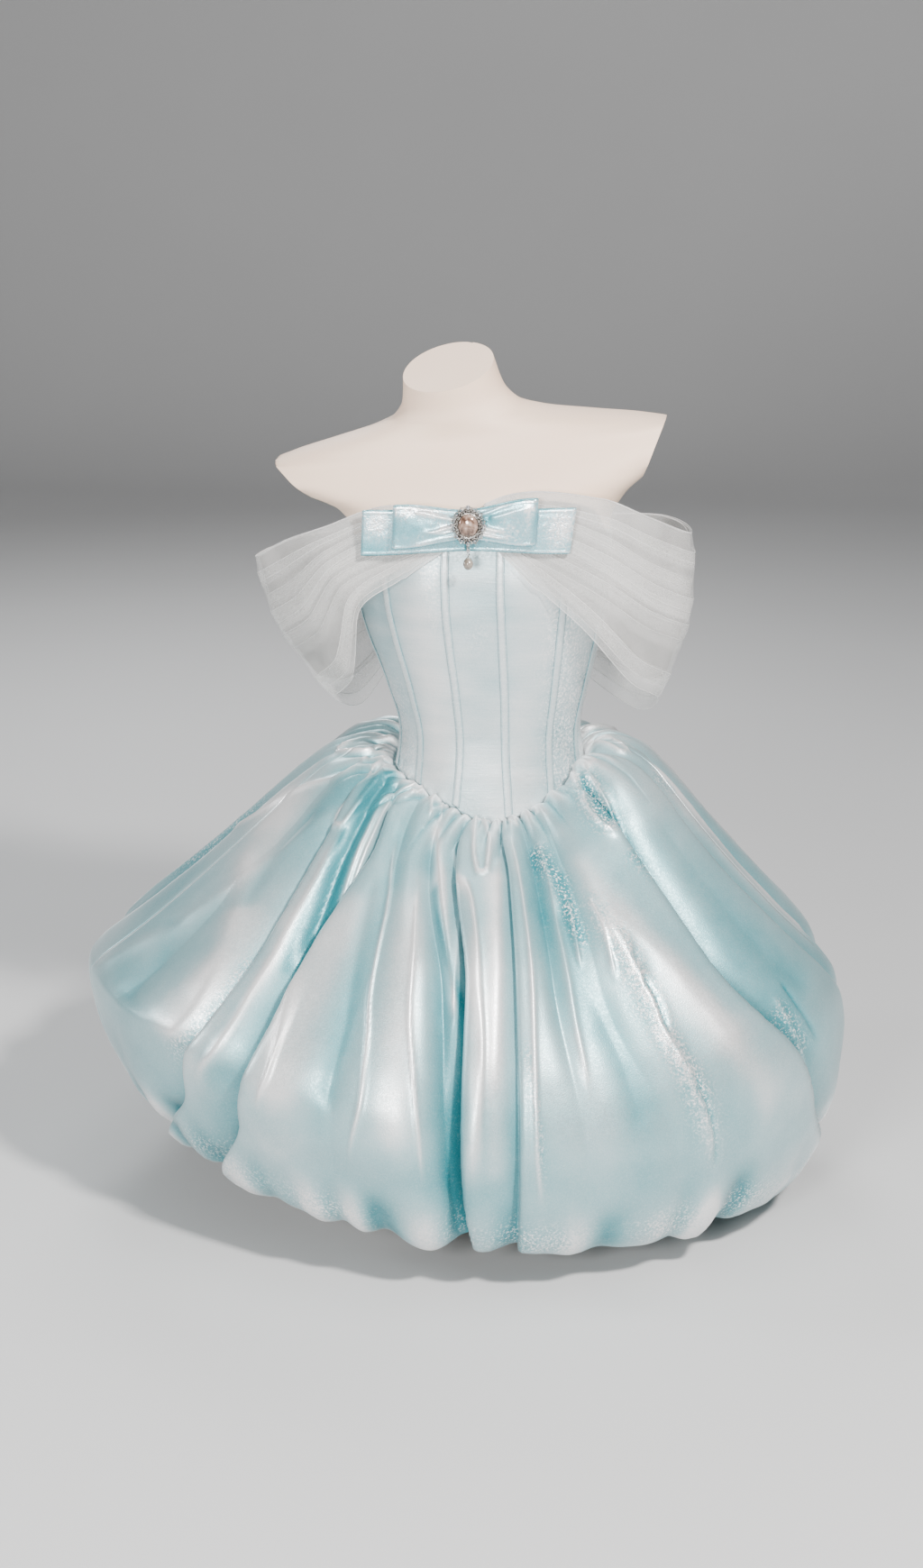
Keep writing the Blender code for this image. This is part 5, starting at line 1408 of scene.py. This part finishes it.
def build_bow():
    """Two wide under loops, two upper loops and the wrapped knot."""
    for row in LOOPS:
        build_loop(row, UPPER_SHARPNESS if row.name.startswith("upper") else UNDER_SHARPNESS)
    deselect()
    bpy.ops.mesh.primitive_cube_add(size=1.0, location=KNOT_MIDDLE, scale=KNOT_SIZE)
    knot = bpy.context.active_object
    bpy.ops.object.mode_set(mode="EDIT")
    bpy.ops.mesh.subdivide(number_cuts=7)
    bpy.ops.object.mode_set(mode="OBJECT")
    bpy.ops.object.transform_apply(location=True, rotation=True, scale=True)
    for vert in knot.data.vertices:
        across = (vert.co.x - KNOT_MIDDLE[0]) / (KNOT_SIZE[0] / 2)
        up = (vert.co.z - KNOT_MIDDLE[2]) / (KNOT_SIZE[2] / 2)
        for bend in (0.0008 * across * across, -0.0004 * sin(across * 9.0 + up)):
            if vert.co.y < KNOT_MIDDLE[1]:
                vert.co.y += bend
        vert.co.x -= 0.0016 * across * (1 - up * up)
    finish_made(knot, "bow_knot_wrap", ribbon_satin)
    soft = knot.modifiers.new("Soft", "SUBSURF")
    soft.levels = soft.render_levels = 1
    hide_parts("bow_knot")


# Brooch, drop and zip

def deselect():
    """Leave nothing selected."""
    if bpy.context.mode != "OBJECT":
        bpy.ops.object.mode_set(mode="OBJECT")
    bpy.ops.object.select_all(action="DESELECT")


def finish_made(thing, name, material, body="dress", smooth_angle=50):
    """Name a modelled piece, apply its place, and give it a finish and a body."""
    deselect()
    thing.select_set(True)
    bpy.context.view_layer.objects.active = thing
    bpy.ops.object.transform_apply(location=True, rotation=True, scale=True)
    thing.name = name
    thing.data.name = name
    thing.data.materials.clear()
    thing.data.materials.append(material)
    bpy.ops.object.shade_smooth_by_angle(angle=radians(smooth_angle))
    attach(thing, body)


def join(things):
    """Join objects into the first one."""
    deselect()
    for thing in things:
        thing.select_set(True)
    bpy.context.view_layer.objects.active = things[0]
    bpy.ops.object.join()
    return things[0]


def torus(place, major, minor, facing="Y", oval=(1.0, 1.0), segments=20, sides=8, turn=0.0):
    """A wire ring that faces an axis, stretched across and up."""
    deselect()
    bpy.ops.mesh.primitive_torus_add(major_radius=major, minor_radius=minor, major_segments=segments,
                                     minor_segments=sides)
    ring = bpy.context.active_object
    ring.data.transform(Matrix.Diagonal((*oval, 1.0, 1.0)))
    ring.data.transform(Matrix.Rotation(turn, 4, "Z"))
    ring.data.transform(Matrix.Rotation(pi / 2, 4, "X" if facing == "Y" else "Y"))
    ring.data.transform(Matrix.Translation(place))
    return ring


def ball(place, size, segments=10, rings=6):
    """A small ball."""
    deselect()
    bpy.ops.mesh.primitive_uv_sphere_add(segments=segments, ring_count=rings, radius=0.5)
    made = bpy.context.active_object
    made.data.transform(Matrix.Diagonal((*size, 1.0)))
    made.data.transform(Matrix.Translation(place))
    return made


# The brooch, its stone, the wire rings of the drop, and the pearl
BROOCH_MIDDLE = Vector((0.0235, -0.1374, 0.8640))
BROOCH_HEIGHT = 0.0450
BROOCH_FACE = -0.0018
BACK_SIZE = (0.0335, 0.0022, 0.0385)
STONE_SIZE = (0.0230, 0.0120, 0.0270)
STONE_CUT = 0.0006
RING_MAJOR = 0.0016
RING_MINOR = 0.00045
RING_STEP = 0.0020
RING_SINK = 0.0004
RING_FORWARD = 0.0006
RING_PLACE = BROOCH_MIDDLE + Vector((0, -RING_FORWARD, -BROOCH_HEIGHT / 2 - RING_MAJOR + RING_SINK))
LINK_BEAD_RADIUS = 0.0024
LINK_CAP_SIZE = (0.0018, 0.0018, 0.0010)
PEARL_WIDTH = 0.0118
PEARL_HEIGHT = 0.0150
PEARL_SLIMMING = 0.20
PEARL_CAP_SIZE = (0.0046, 0.0046, 0.0022)

# The filigree's rings of small pieces: how many, the half width and half height of the oval they lie on,
# how far behind the face, the first one's place, and then the wire ring's or the ball's own form
RingRow = namedtuple("RingRow", "count across up behind first major minor squash turning segments")
WIRE_RINGS = [
    RingRow(14, 0.0168, 0.0196, 0.0014, 0.0, 0.0033, 0.00070, 0.82, -1, 16),
    RingRow(14, 0.0143, 0.0168, 0.0010, 0.5, 0.0016, 0.00050, 1.00, 0, 12),
]
BallRow = namedtuple("BallRow", "count across up behind first size segments rings")
GRAINS = [
    BallRow(14, 0.0203, 0.0230, 0.0012, 0.0, (0.0020, 0.0020, 0.0020), 10, 6),
    BallRow(14, 0.0190, 0.0217, 0.0016, 0.5, (0.0016, 0.0016, 0.0016), 10, 6),
    BallRow(40, 0.0135, 0.0156, 0.0002, 0.0, (0.0013, 0.0013, 0.0013), 8, 5),
]
SMALL_GEMS = BallRow(14, 0.0170, 0.0198, 0.0002, 0.0, (0.0032, 0.0024, 0.0032), 8, 4)
LARGE_GEMS = ((0, 0.0056), (pi / 2, 0.0050), (-pi / 2, 0.0050), (pi, 0.0042))


def oval_places(row):
    """Places spread round an oval on the brooch's face, and their angles."""
    for number in range(row.count):
        angle = 2 * pi * (number + row.first) / row.count
        offset = Vector((row.across * sin(angle), BROOCH_FACE + row.behind, row.up * cos(angle)))
        yield BROOCH_MIDDLE + offset, angle


def balls(row):
    """A row of balls round the brooch."""
    return [ball(place, row.size, row.segments, row.rings) for place, _ in oval_places(row)]


def build_brooch():
    """The filigree frame, its small stones, and the domed stone."""
    deselect()
    bpy.ops.mesh.primitive_cylinder_add(vertices=56, radius=0.5, depth=1.0)
    plate = bpy.context.active_object
    plate.data.transform(Matrix.Rotation(pi / 2, 4, "X"))
    plate.data.transform(Matrix.Diagonal((*BACK_SIZE, 1.0)))
    plate.data.transform(Matrix.Translation(BROOCH_MIDDLE + Vector((0, 0.0006, 0))))
    finish_made(plate, "brooch_back", recess)
    parts = []
    for row in WIRE_RINGS:
        for place, angle in oval_places(row):
            parts.append(torus(place, row.major, row.minor, oval=(1.0, row.squash), turn=row.turning * angle,
                               segments=row.segments, sides=6))
    for row in GRAINS:
        parts += balls(row)
    rim = BROOCH_MIDDLE + Vector((0, BROOCH_FACE + 0.0004, 0))
    parts.append(torus(rim, 0.0134, 0.0007, oval=(0.925, 1.075), segments=48))
    parts.append(torus(RING_PLACE, RING_MAJOR, RING_MINOR, facing="X"))
    filigree = join(parts)
    finish_made(filigree, "brooch_filigree", metal)
    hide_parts("brooch_frame")

    gems = balls(SMALL_GEMS)
    for angle, size in LARGE_GEMS:
        place = BROOCH_MIDDLE + Vector((0.0192 * sin(angle), BROOCH_FACE - 0.0008, 0.0218 * cos(angle)))
        gems.append(ball(place, (size, 0.0030, size), 8, 4))
    finish_made(join(gems), "brooch_crystals", crystal, smooth_angle=10)

    dome = ball((0, 0, 0), STONE_SIZE, 48, 28)
    bm = bmesh.new()
    bm.from_mesh(dome.data)
    everything = bm.verts[:] + bm.edges[:] + bm.faces[:]
    cut = bmesh.ops.bisect_plane(bm, geom=everything, plane_co=(0, -STONE_CUT, 0), plane_no=(0, 1, 0),
                                 clear_outer=True)
    rim = [part for part in cut["geom_cut"] if isinstance(part, bmesh.types.BMEdge)]
    bmesh.ops.contextual_create(bm, geom=rim)
    bm.to_mesh(dome.data)
    bm.free()
    seat = BROOCH_MIDDLE + Vector((0, BROOCH_FACE - SEAM_GAP + STONE_CUT, 0))
    dome.data.transform(Matrix.Translation(seat))
    finish_made(dome, "brooch_cabochon", stone)
    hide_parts("brooch_stone")


def build_drop():
    """The crystal link and the pearl under the brooch."""
    upper = RING_PLACE - Vector((0, 0, RING_STEP))
    bead = upper - Vector((0, 0, RING_MAJOR + LINK_BEAD_RADIUS))
    lower = bead - Vector((0, 0, LINK_BEAD_RADIUS + RING_MAJOR))
    cap_place = Vector((0, 0, LINK_BEAD_RADIUS * 0.9))
    rings = [torus(place, RING_MAJOR, RING_MINOR) for place in (upper, lower)]
    caps = [ball(place, LINK_CAP_SIZE) for place in (bead + cap_place, bead - cap_place)]
    finish_made(join(rings + caps), "drop_link_rings", metal, body="link")
    gem = ball(bead, (2 * LINK_BEAD_RADIUS,) * 3, 8, 6)
    finish_made(gem, "drop_link_crystal", crystal, body="link", smooth_angle=5)
    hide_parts("drop_link")
    ring = lower - Vector((0, 0, RING_STEP))
    middle = ring - Vector((0, 0, RING_MAJOR + PEARL_HEIGHT / 2))
    drop = ball(middle, (PEARL_WIDTH, PEARL_WIDTH, PEARL_HEIGHT), 36, 24)
    for vert in drop.data.vertices:
        up = (vert.co.z - middle.z) / (PEARL_HEIGHT / 2)
        slim = 1 - PEARL_SLIMMING * max(0.0, up) ** 1.5
        vert.co.x = middle.x + (vert.co.x - middle.x) * slim
        vert.co.y = middle.y + (vert.co.y - middle.y) * slim
    finish_made(drop, "drop_pearl_bead", pearl, body="pearl")
    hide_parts("drop_pearl")
    cap = ball(middle + Vector((0, 0, PEARL_HEIGHT / 2 - 0.0007)), PEARL_CAP_SIZE, 12, 8)
    top = join([cap, torus(ring, RING_MAJOR, RING_MINOR, facing="X")])
    finish_made(top, "drop_pearl_cap", metal, body="pearl")


# The zip's slider, the ring that its tab hangs from, and the tab
SLIDER_OUT = CHANNEL_OUT + 0.0012 + SEAM_GAP
SLIDER_DROP = 0.012
SLIDER_SIZE = (0.0058, 0.0034, 0.0085)
SLIDER_FOOT = 0.0006
SLIDER_ROUNDING = 0.0011
PIVOT_OUT = 0.0013
PIVOT_MAJOR = 0.0018
PULL_MAJOR = 0.0019
ZIP_WIRE = 0.0005
PULL_SIZE = (0.0056, 0.0015, 0.0150)
PULL_HALF_THICKNESS = 0.0006
PULL_SINK = 0.0004


def build_zip():
    """The zip's slider and its pull."""
    top = neckline(np.array(pi)) - SLIDER_DROP
    face = Vector(figure_point(top, np.array(pi), SLIDER_OUT).tolist())
    deselect()
    bpy.ops.mesh.primitive_cube_add(size=1.0)
    slider = bpy.context.active_object
    slider.data.transform(Matrix.Diagonal((*SLIDER_SIZE, 1.0)))
    slider.data.transform(Matrix.Translation(face + Vector((0, SLIDER_SIZE[1] / 2 + SLIDER_FOOT, 0))))
    bevel = slider.modifiers.new("Round", "BEVEL")
    bevel.width = SLIDER_ROUNDING
    bevel.segments = 4
    bpy.ops.object.modifier_apply(modifier="Round")
    pivot = face + Vector((0, SLIDER_SIZE[1] + SLIDER_FOOT + PIVOT_OUT, 0))
    slider = join([slider, torus(pivot, PIVOT_MAJOR, ZIP_WIRE, facing="X")])
    finish_made(slider, "slider_body", metal)
    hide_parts("zip_slider")
    ring_place = pivot - Vector((0, 0, PULL_MAJOR))
    drop = PULL_MAJOR + PULL_SIZE[2] / 2 - PULL_SINK
    pull = ball(ring_place - Vector((0, 0, drop)), PULL_SIZE, 24, 12)
    for vert in pull.data.vertices:
        off = max(-PULL_HALF_THICKNESS, min(PULL_HALF_THICKNESS, vert.co.y - ring_place.y))
        vert.co.y = ring_place.y + off
    pull = join([pull, torus(ring_place, PULL_MAJOR, ZIP_WIRE)])
    finish_made(pull, "pull_tab", metal, body="pull")
    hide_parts("zip_pull")


# Studio

# The floor and its sweep, the world light, the camera and the softboxes
FLOOR_SIZE = 9.0
SWEEP_RADIUS = 1.5
SWEEP_STEPS = 8
WALL_HEIGHT = 4.0
WORLD_COLOUR = (0.80, 0.84, 0.88, 1.0)
WORLD_STRENGTH = 0.12
LIGHTS_AIM = Vector((0, 0, 0.5))
CAMERA_AIM = Vector((0, 0, 0.512))
CAMERA_TURN = radians(6.5)
CAMERA_RISE = radians(16.5)
CAMERA_DISTANCE = 3.6
CAMERA_LENS = 67.03
Softbox = namedtuple("Softbox", "name place size power colour")
SOFTBOXES = [
    Softbox("key", (-0.6, -3.7, 1.45), 0.8, 140.0, (1.0, 0.985, 0.97)),
    Softbox("right", (1.6, -2.1, 2.7), 0.3, 205.0, (1.0, 0.965, 0.94)),
    Softbox("left", (-2.8, -0.4, 1.2), 0.5, 26.0, (0.98, 0.99, 1.0)),
    Softbox("back", (-0.8, 2.6, 2.4), 1.2, 60.0, (0.98, 0.99, 1.0)),
    Softbox("top", (0.0, 0.0, 3.2), 1.0, 14.0, (1.0, 1.0, 1.0)),
]


def build_floor():
    """The floor, which sweeps up into a wall at the back."""
    deselect()
    bpy.ops.mesh.primitive_plane_add(size=FLOOR_SIZE, location=(0, 0, 0))
    floor = bpy.context.active_object
    floor.name = "studio_floor"
    bpy.ops.object.mode_set(mode="EDIT")
    bpy.ops.mesh.select_all(action="DESELECT")
    bpy.ops.mesh.select_mode(type="EDGE")
    sweep = bmesh.from_edit_mesh(floor.data)
    for edge in sweep.edges:
        edge.select_set(all(vert.co.y > FLOOR_SIZE * 0.45 for vert in edge.verts))
    bmesh.update_edit_mesh(floor.data)
    turns = np.linspace(0, pi / 2, SWEEP_STEPS + 1)
    moves = [(0, SWEEP_RADIUS * (sin(after) - sin(before)), SWEEP_RADIUS * (cos(before) - cos(after)))
             for before, after in zip(turns, turns[1:])]
    for move in moves + [(0, 0, WALL_HEIGHT)]:
        bpy.ops.mesh.extrude_region_move(TRANSFORM_OT_translate={"value": move})
    bpy.ops.object.mode_set(mode="OBJECT")
    floor.data.shade_smooth()
    ground = Finish("studio_floor", roughness=0.85, specular_ior_level=0.2)
    cloud = ground.noise(ground.place(), 1.2, 2.0)
    ground.set(base_color=ground.mix(cloud, (0.60, 0.605, 0.61, 1.0), (0.65, 0.655, 0.66, 1.0)))
    floor.data.materials.append(ground.material)


def build_lights():
    """The soft world light and the softboxes."""
    world = bpy.data.worlds.new("studio")
    bpy.context.scene.world = world
    world.use_nodes = True
    background = world.node_tree.nodes["Background"]
    background.inputs["Color"].default_value = WORLD_COLOUR
    background.inputs["Strength"].default_value = WORLD_STRENGTH
    for row in SOFTBOXES:
        light = bpy.data.lights.new(row.name + "_softbox", "AREA")
        light.shape = "SQUARE"
        light.size = row.size
        light.energy = row.power
        light.color = row.colour
        lamp = bpy.data.objects.new(row.name + "_softbox", light)
        bpy.context.scene.collection.objects.link(lamp)
        lamp.location = row.place
        lamp.rotation_euler = (LIGHTS_AIM - Vector(row.place)).to_track_quat("-Z", "Y").to_euler()


def build_camera():
    """The camera, a little to the right of the front and above."""
    camera = bpy.data.cameras.new("camera")
    camera.lens = CAMERA_LENS
    camera.sensor_width = 36.0
    camera.clip_end = 60.0
    holder = bpy.data.objects.new("camera", camera)
    bpy.context.scene.collection.objects.link(holder)
    back = Vector((sin(CAMERA_TURN) * cos(CAMERA_RISE), -cos(CAMERA_TURN) * cos(CAMERA_RISE),
                   sin(CAMERA_RISE)))
    holder.location = CAMERA_AIM + back * CAMERA_DISTANCE
    holder.rotation_euler = back.to_track_quat("Z", "Y").to_euler()
    bpy.context.scene.camera = holder


build_floor()
build_lights()
build_camera()
build_form()
build_bodice()
build_skirt()
build_drape("right", DRAPE_RIGHT)
build_drape("left", DRAPE_LEFT)
build_bow()
build_brooch()
build_drop()
build_zip()
